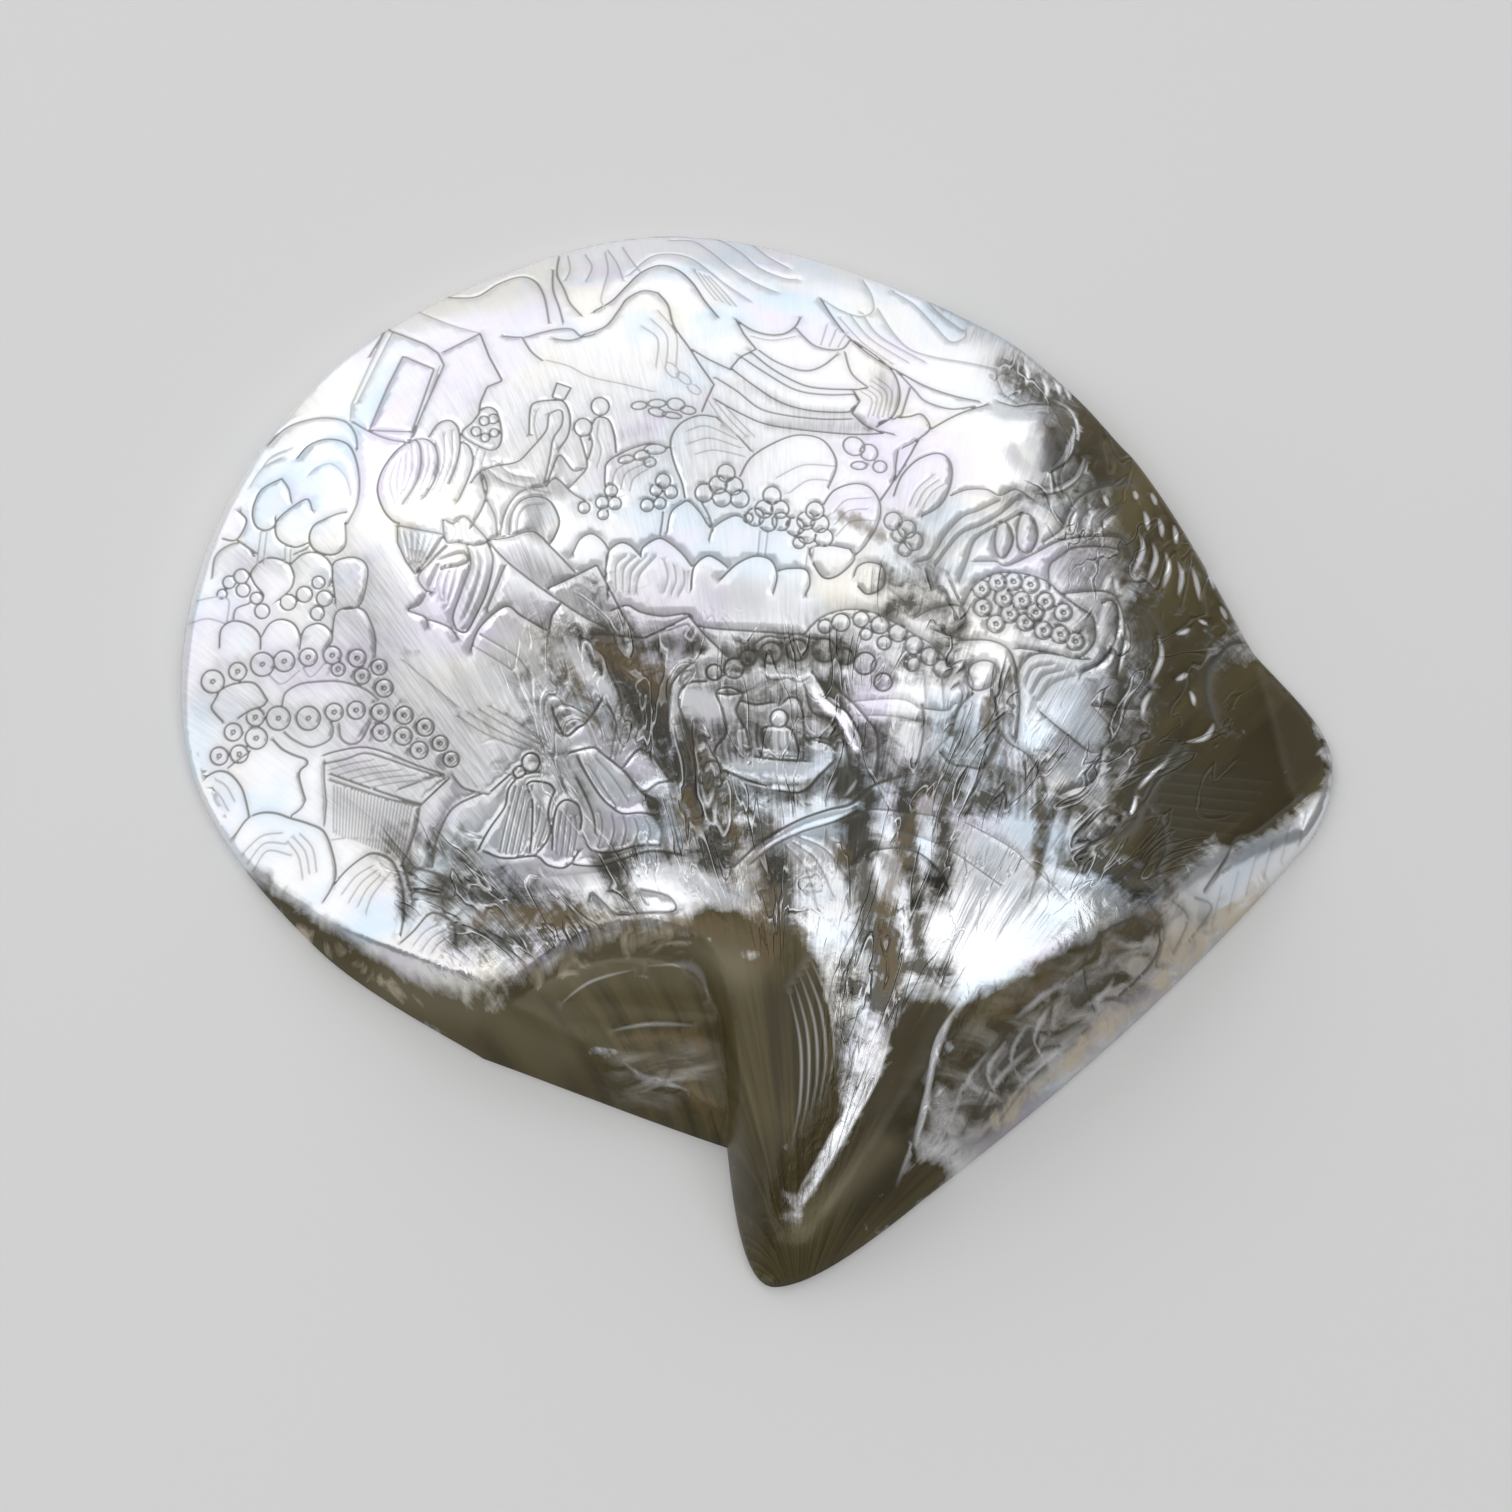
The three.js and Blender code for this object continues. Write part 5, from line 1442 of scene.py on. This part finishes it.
def build_shell():
    """The whole valve: its face, the low wall under its outline, the ring that it rests on, the hollow."""
    face, faces, marks, count = face_mesh()
    foot = face[:count] * (1, 1, 0)
    hollow, hollow_faces = hollow_mesh()
    seen = np.concatenate([face, foot])
    points = np.concatenate([seen, hollow])
    i = np.arange(count)
    j = np.roll(i, -1)
    start = len(face)
    wall = np.stack([start + i, start + j, j, start + i, j, i], 1).reshape(-1, 3)
    ring = np.concatenate([start + i, np.arange(len(points) - HOLLOW_STEPS, len(points))])
    rest = ring[rest_faces(foot[:, :2], hollow[-HOLLOW_STEPS:, :2])]
    triangles = np.concatenate([faces, wall, rest, len(seen) + hollow_faces])
    mesh = bpy.data.meshes.new("carved_shell")
    mesh.from_pydata(((points + np.array([*SHIFT, 0])) * MM).tolist(), [], triangles.tolist())
    mesh.update()
    write_marks(mesh, marks, seen, hollow)
    piece = bpy.data.objects.new("carved_shell", mesh)
    bpy.context.scene.collection.objects.link(piece)
    return piece


shell = build_shell()
bpy.ops.object.select_all(action="DESELECT")
shell.select_set(True)
bpy.context.view_layer.objects.active = shell
bpy.ops.object.shade_smooth_by_angle(angle=rad(SMOOTH_ANGLE_DEG))

# Colours of the nacre, of the olive shell and its bare folds, of stains, and of painted shade and light
SILVER, BLUE = (0.89, 0.90, 0.93), (0.70, 0.82, 0.94)
LILAC, CREAM = (0.82, 0.78, 0.92), (0.90, 0.87, 0.78)
# Olive: its own colour, a darker olive for its streaks and its painted shade, and its painted light
OLIVE, OLIVE_DARK_AND_SHADED, OLIVE_PAINTED_LIGHT = (0.108, 0.088, 0.036), (0.042, 0.033, 0.012), (0.17, 0.15, 0.09)
BARE_DEEP, BARE_LIGHT = (0.088, 0.074, 0.045), (0.44, 0.42, 0.39)
# Painted shade in the grooves and creases, painted shade beside the lines, and painted dark reflection
PAINTED_SHADE_TINT, LINE_SHADE_TINT, PAINTED_DARK_TINT = (0.09, 0.088, 0.08), (0.09, 0.085, 0.07), (0.062, 0.058, 0.043)
SHADE_TINT, SCRATCH_TINT = (0.32, 0.32, 0.34), (0.20, 0.19, 0.17)
PALE_TINT, BROWN = (0.60, 0.52, 0.40), (0.150, 0.105, 0.048)
# How strongly the painted dark, the painted crease highlights, the pale, the brown and the painted groove
# shade lie
PAINTED_DARK_SHARE, CREASE_HIGHLIGHT_SHARE, PALE_SHARE, BROWN_SHARE, GROOVE_SHADE_SHARE = 0.95, 0.7, 0.8, 0.6, 0.85

# Noise textures, and those that run in rays from the beak, with their turns and lengths for a scale
Grain = namedtuple("Grain", "scale detail roughness distortion", defaults=(0.5, 0))
PATCHES, BROAD = Grain(300, 8, 0.66, 0.8), Grain(130, 4, 0.55, 1.6)
BROKEN, FOLDED = Grain(420, 5, distortion=1.2), Grain(230, 5, distortion=1)
RAYS, FINE_RAYS, TORN_RAYS = Grain((24, 22), 6), Grain((240, 60), 2), Grain((76, 44), 8, 0.66, 0.7)
CREASED, SCRATCHED = Grain((13, 44), 2, distortion=1.4), Grain((300, 120), 4, 0.7, 0.5)
BROAD_STRETCH, BROKEN_STRETCH, FOLD_STRETCH = (1, 1, 0.6), (1, 0.6, 1), (0.3, 1, 1)
FOLD_TURN = rad(-38)  # the folds of the bare hinge side run along its edge
FOLD_LEVELS, SCRATCH_LEVELS = (0.43, 0.62), (0.42, 0.64)
# Clouds: tint, noise, the levels between which each sets in, and its place in the noise
CLOUDS = [
    (CREAM, Grain(34, 3, distortion=0.6), 0.50, 0.72, (0, 0, 0.4)),
    (BLUE, Grain(46, 3, distortion=0.6), 0.50, 0.68, (3.1, 1.7, 0.4)),
    (LILAC, Grain(52, 3, distortion=0.6), 0.52, 0.70, (6.2, 3.4, 0.4)),
]
# Relief of the rays, of the streaks and of fine and rough nacre
RAY_RELIEF, STREAK_RELIEF, FINE_RELIEF, ROUGH_RELIEF = 0.16, 1.1, 0.04, 2
# Creases, with painted shade in them, and the painted highlights on the edges beside them: level of the
# noise that each follows, and its height
CREASE_LINES = {"Shaded_creases": (0.5, -0.6), "Edges": (0.468, 0.3)}
CREASE_CORE, CREASE_WIDTH, STREAK_CREASES = 0.003, 0.020, 0.2
# Areas with torn edges: how far the texture moves the edge, and the levels between which each sets in
TORN_AREAS = {
    "Olive": (1.8, 0.14, 0.62), "Pale": (3.0, 0.3, 0.8), "Brown": (4.0, 0.25, 0.8),
    "Painted_dark": (3.2, 0.16, 0.84),
}
TORN_EDGE = (0.02, 0.3)
PAINTED_DARK_RAYS = 0.35  # share of the rays in what tears the painted shade and dark reflection, the rest of it patches
# What grows or falls with the painted shade and dark reflection: its share from and to which it does,
# then its own values there
CREASES_BY_PAINTED_DARK, SCRATCHES_BY_PAINTED_DARK = (0.1, 0.6, 0, 0.8), (0, 0.7, 0.05, 0.6)
# The painted shade beside the engraved lines grows stronger and wider there
LINE_SHADE_BY_PAINTED_DARK, LINE_SHADE_POWER_BY_PAINTED_DARK = (0, 0.6, 0.3, 0.95), (0, 0.6, 1, 0.6)
OLIVE_LEVELS = (0.3, 0.7)
RELIEF_DEPTH = 0.0003
SPECULAR = 0.28
# Metallic share and roughness of bare nacre, then of olive shell
METALLIC, ROUGHNESS = (0.70, 0.10), (0.20, 0.34)


def colour(rgb):
    return (*rgb, 1)


def node_group(name):
    return bpy.data.node_groups.new(name, "ShaderNodeTree")


def with_outputs(tree, **outputs):
    """The group, once its outputs are made and fed."""
    for label, socket in outputs.items():
        kind = "NodeSocketColor" if socket.type == "RGBA" else "NodeSocketFloat"
        tree.interface.new_socket(label, in_out="OUTPUT", socket_type=kind)
    out = tree.nodes.new("NodeGroupOutput")
    for label, socket in outputs.items():
        tree.links.new(socket, out.inputs[label])
    return tree


def add(tree, kind, links=(), **values):
    """A node with values on its properties or named sockets, and links into its sockets."""
    node = tree.nodes.new(kind)
    for key, value in values.items():
        if hasattr(node, key):
            setattr(node, key, value)
        else:
            node.inputs[key.replace("_", " ")].default_value = value
    for socket, source in links:
        tree.links.new(source, node.inputs[socket])
    return node


def object_place(tree, **mapping):
    place = add(tree, "ShaderNodeTexCoord").outputs["Object"]
    return add(tree, "ShaderNodeMapping", [("Vector", place)], **mapping).outputs["Vector"]


def blend(tree, share, first, second):
    """A mix of two colours, each a socket or a plain colour."""
    node = add(tree, "ShaderNodeMix", data_type="RGBA")
    tree.links.new(share, node.inputs["Factor"])
    for label, value in (("A", first), ("B", second)):
        socket = next(i for i in node.inputs if i.name == label and i.type == "RGBA")
        if isinstance(value, tuple):
            socket.default_value = colour(value)
        else:
            tree.links.new(value, socket)
    return next(o for o in node.outputs if o.type == "RGBA")


def scaled(tree, value, low, high, to_low=0, to_high=1):
    node = add(
        tree, "ShaderNodeMapRange", [("Value", value)], From_Min=low, From_Max=high, To_Min=to_low,
        To_Max=to_high,
    )
    return node.outputs["Result"]


def maths(operation, tree, *terms):
    node = add(tree, "ShaderNodeMath", operation=operation)
    for socket, term in zip(node.inputs, terms):
        if isinstance(term, (int, float)):
            socket.default_value = term
        else:
            tree.links.new(term, socket)
    return node.outputs["Value"]


plus, minus, times, most = (partial(maths, kind) for kind in ("ADD", "SUBTRACT", "MULTIPLY", "MAXIMUM"))


def halfway(tree, first, second):
    return times(tree, plus(tree, first, second), 0.5)


def field(tree, name):
    return add(tree, "ShaderNodeAttribute", attribute_name=name).outputs["Fac"]


def grain_at(tree, grain, place):
    """The grey of a noise texture."""
    return add(
        tree, "ShaderNodeTexNoise", [("Vector", place)], Scale=grain.scale, Detail=grain.detail,
        Roughness=grain.roughness, Distortion=grain.distortion,
    ).outputs["Fac"]


def rays_at(tree, grain):
    """The grey of a noise texture that runs in rays from the root of the beak."""
    root = (Vector((*BEAK_ROOT, 0)) + Vector((*SHIFT, 0))) * MM
    place = add(tree, "ShaderNodeSeparateXYZ", [("Vector", object_place(tree))])
    x = minus(tree, place.outputs["X"], root.x)
    y = minus(tree, place.outputs["Y"], root.y)
    turn = maths("ARCTAN2", tree, x, y)
    far = maths("SQRT", tree, plus(tree, times(tree, x, x), times(tree, y, y)))
    turns, lengths = grain.scale
    grid = add(
        tree, "ShaderNodeCombineXYZ", [("X", times(tree, turn, turns)), ("Y", times(tree, far, lengths))]
    )
    return grain_at(tree, grain._replace(scale=1), grid.outputs["Vector"])


def cloud_group():
    """Soft clouds of blue, lilac and cream in silver nacre."""
    tree = node_group("pearl_clouds")
    shade = SILVER
    for tint, grain, low, high, location in CLOUDS:
        cloud = grain_at(tree, grain, object_place(tree, Location=location))
        shade = blend(tree, scaled(tree, cloud, low, high), shade, tint)
    return with_outputs(tree, Color=shade)


def relief_group():
    """Height of the fine relief: rays from the beak, polishing scratches, broken nacre and creases."""
    tree = node_group("nacre_relief")
    rays = rays_at(tree, RAYS)
    streaky = field(tree, "streaky")
    height = times(tree, rays, plus(tree, times(tree, streaky, STREAK_RELIEF), RAY_RELIEF))
    height = plus(tree, height, times(tree, rays_at(tree, FINE_RAYS), FINE_RELIEF))
    broken = grain_at(tree, BROKEN, object_place(tree, Scale=BROKEN_STRETCH))
    height = plus(tree, height, times(tree, broken, times(tree, field(tree, "rough"), ROUGH_RELIEF)))
    wanted = most(tree, field(tree, "painted_dark"), times(tree, streaky, STREAK_CREASES))
    wanted = scaled(tree, wanted, *CREASES_BY_PAINTED_DARK)
    creased = rays_at(tree, CREASED)
    lines = {}
    # Crease masks: painted shade in the creases and a painted highlight on their edges, also set into the
    # relief
    for label, (level, rise) in CREASE_LINES.items():
        near = maths("ABSOLUTE", tree, minus(tree, creased, level))
        lines[label] = times(tree, scaled(tree, near, CREASE_CORE, CREASE_WIDTH, 1, 0), wanted)
        height = plus(tree, height, times(tree, lines[label], rise))
    return with_outputs(tree, Height=height, Rays=rays, **lines)


def torn(tree, name, grey, amount, low, high):
    """An area with its edge broken up by a texture."""
    inside = field(tree, name)
    near = scaled(tree, inside, *TORN_EDGE)
    shift = times(tree, minus(tree, grey, 0.5), amount)
    return scaled(tree, plus(tree, inside, times(tree, shift, near)), low, high)


def stain_and_painted_dark_group():
    """Shares of olive shell, pale broken edges partly painted highlight, brown stain, painted shade and dark
    reflection, scratches and folds.
    """
    tree = node_group("stains_and_painted_dark")
    rays = rays_at(tree, TORN_RAYS)
    patches = grain_at(tree, PATCHES, object_place(tree))
    broad = grain_at(tree, BROAD, object_place(tree, Scale=BROAD_STRETCH))
    both = halfway(tree, rays, patches)
    greys = {
        "Olive": halfway(tree, both, broad),
        "Pale": broad,
        "Brown": both,
        "Painted_dark": plus(tree, times(tree, rays, PAINTED_DARK_RAYS), times(tree, patches, 1 - PAINTED_DARK_RAYS)),
    }
    stains_and_painted_dark = {
        name: torn(tree, name.lower(), greys[name], *levels) for name, levels in TORN_AREAS.items()
    }
    turned = object_place(tree, Rotation=(0, 0, FOLD_TURN), Scale=FOLD_STRETCH)
    stains_and_painted_dark["Folds"] = scaled(tree, grain_at(tree, FOLDED, turned), *FOLD_LEVELS)
    fine = scaled(tree, rays_at(tree, SCRATCHED), *SCRATCH_LEVELS)
    wanted = scaled(tree, most(tree, field(tree, "painted_dark"), field(tree, "shade")), *SCRATCHES_BY_PAINTED_DARK)
    stains_and_painted_dark["Scratches"] = times(tree, fine, wanted)
    return with_outputs(tree, **stains_and_painted_dark)


def nacre():
    """The one material: tints, painted shade, dark reflection and highlights laid over clouded nacre, dull
    where it is olive shell, stained or bare.
    """
    material = bpy.data.materials.new("nacre")
    material.use_nodes = True
    tree = material.node_tree
    bsdf = tree.nodes["Principled BSDF"]
    clouds, relief, stains_and_painted_dark = (
        add(tree, "ShaderNodeGroup", node_tree=group()).outputs
        for group in (cloud_group, relief_group, stain_and_painted_dark_group)
    )
    glint, bare, painted_dark = (field(tree, name) for name in ("glint", "bare", "painted_dark"))
    # Strength and spread of the painted shade beside the engraved lines
    line_shade_strength = scaled(tree, painted_dark, *LINE_SHADE_BY_PAINTED_DARK)
    spread = scaled(tree, painted_dark, *LINE_SHADE_POWER_BY_PAINTED_DARK)
    light = minus(tree, scaled(tree, relief["Rays"], *OLIVE_LEVELS), field(tree, "olive_shade"))
    rolled = blend(tree, most(tree, light, 0), OLIVE_DARK_AND_SHADED, OLIVE)
    layers = [
        (field(tree, "shade"), SHADE_TINT),
        (stains_and_painted_dark["Scratches"], SCRATCH_TINT),
        # painted shade and dark reflection
        (times(tree, stains_and_painted_dark["Painted_dark"], PAINTED_DARK_SHARE), PAINTED_DARK_TINT),
        # painted shade in the creases, then painted highlights on their edges
        (relief["Shaded_creases"], PAINTED_SHADE_TINT),
        (times(tree, relief["Edges"], CREASE_HIGHLIGHT_SHARE), SILVER),
        # olive, with its painted shade and painted light
        (stains_and_painted_dark["Olive"], blend(tree, field(tree, "painted_light"), rolled, OLIVE_PAINTED_LIGHT)),
        (bare, blend(tree, stains_and_painted_dark["Folds"], BARE_DEEP, BARE_LIGHT)),
        # pale, in part a painted highlight
        (times(tree, stains_and_painted_dark["Pale"], PALE_SHARE), PALE_TINT),
        (times(tree, stains_and_painted_dark["Brown"], BROWN_SHARE), BROWN),
        # painted shade beside and in the engraved lines, then the painted highlights
        (times(tree, maths("POWER", tree, field(tree, "line_shade"), spread), line_shade_strength), LINE_SHADE_TINT),
        (times(tree, field(tree, "groove_shade"), GROOVE_SHADE_SHARE), PAINTED_SHADE_TINT),
        (glint, SILVER),
    ]
    shade = clouds["Color"]
    for share, tint in layers:
        shade = blend(tree, share, shade, tint)
    tree.links.new(shade, bsdf.inputs["Base Color"])
    half_dull = most(tree, most(tree, stains_and_painted_dark["Brown"], stains_and_painted_dark["Pale"]), bare)
    dull = most(tree, stains_and_painted_dark["Olive"], times(tree, half_dull, 0.5))
    dull = times(tree, dull, minus(tree, 1, glint))
    tree.links.new(scaled(tree, dull, 0, 1, *METALLIC), bsdf.inputs["Metallic"])
    tree.links.new(scaled(tree, dull, 0, 1, *ROUGHNESS), bsdf.inputs["Roughness"])
    bsdf.inputs["Specular IOR Level"].default_value = SPECULAR
    bump = add(tree, "ShaderNodeBump", [("Height", relief["Height"])], Strength=1, Distance=RELIEF_DEPTH)
    tree.links.new(bump.outputs["Normal"], bsdf.inputs["Normal"])
    return material


shell.data.materials.append(nacre())

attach(shell, "root")
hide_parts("shell")

FLOOR_SIZE, FLOOR_GREY, FLOOR_ROUGHNESS = 30, 0.66, 0.8
WORLD_GREY = 0.04
# Soft panels that face the valve: azimuth, which is 0 behind the valve and 90 on its right, height in
# degrees, distance, width and height in metres, and radiance
PANELS = {
    "back_panel": (0, 28, 1.5, (1.75, 1.55), 1.25),
    "left_panel": (-67, 27, 1.5, (2.3, 1.45), 1.18),
    "upper_panel": (0, 66, 1.5, (1.9, 0.45), 0.42),
    "right_panel": (42, 38, 1.5, (0.58, 1.3), 0.6),
    "side_panel": (118, 22, 1.7, (1.3, 0.6), 0.5),
    "front_panel": (180, 20, 1.7, (1.8, 0.7), 0.25),
    "overhead_panel": (168, 73, 1.3, (2.3, 1.3), 1.5),
}


def add_floor():
    bpy.ops.mesh.primitive_plane_add(size=FLOOR_SIZE, location=(0, 0, 0))
    floor = bpy.context.object
    floor.name = "floor"
    paint = bpy.data.materials.new("floor_paint")
    paint.use_nodes = True
    inputs = paint.node_tree.nodes["Principled BSDF"].inputs
    inputs["Base Color"].default_value = colour([FLOOR_GREY] * 3)
    inputs["Roughness"].default_value = FLOOR_ROUGHNESS
    floor.data.materials.append(paint)


def add_light(name, azimuth, height_deg, distance, size, radiance):
    a, e = rad(azimuth), rad(height_deg)
    place = distance * Vector((math.sin(a) * math.cos(e), math.cos(a) * math.cos(e), math.sin(e)))
    bpy.ops.object.light_add(type="AREA", location=place)
    lamp = bpy.context.object
    lamp.name = name
    lamp.rotation_euler = (-place).to_track_quat("-Z", "Y").to_euler()
    lamp.data.shape = "RECTANGLE"
    lamp.data.size, lamp.data.size_y = size
    lamp.data.energy = radiance * math.pi * size[0] * size[1]
    lamp.visible_camera = False


def add_camera():
    place = np.array([*(CAMERA[:2] + SHIFT), CAMERA[2]]) * MM
    turn = (rad(90) - elevation, 0, 0)
    bpy.ops.object.camera_add(location=place, rotation=turn)
    camera = bpy.context.object
    camera.name = "camera"
    camera.data.sensor_width = SENSOR
    camera.data.lens = SENSOR * CAMERA_DISTANCE / (PHOTO_SIDE * PIXEL)
    camera.data.clip_end = CLIP_END
    bpy.context.scene.camera = camera


def set_world():
    world = bpy.data.worlds.new("studio")
    world.use_nodes = True
    world.node_tree.nodes["Background"].inputs["Color"].default_value = colour([WORLD_GREY] * 3)
    bpy.context.scene.world = world
    bpy.context.scene.view_settings.view_transform = "Standard"


add_floor()
for name, panel in PANELS.items():
    add_light(name, *panel)
add_camera()
set_world()
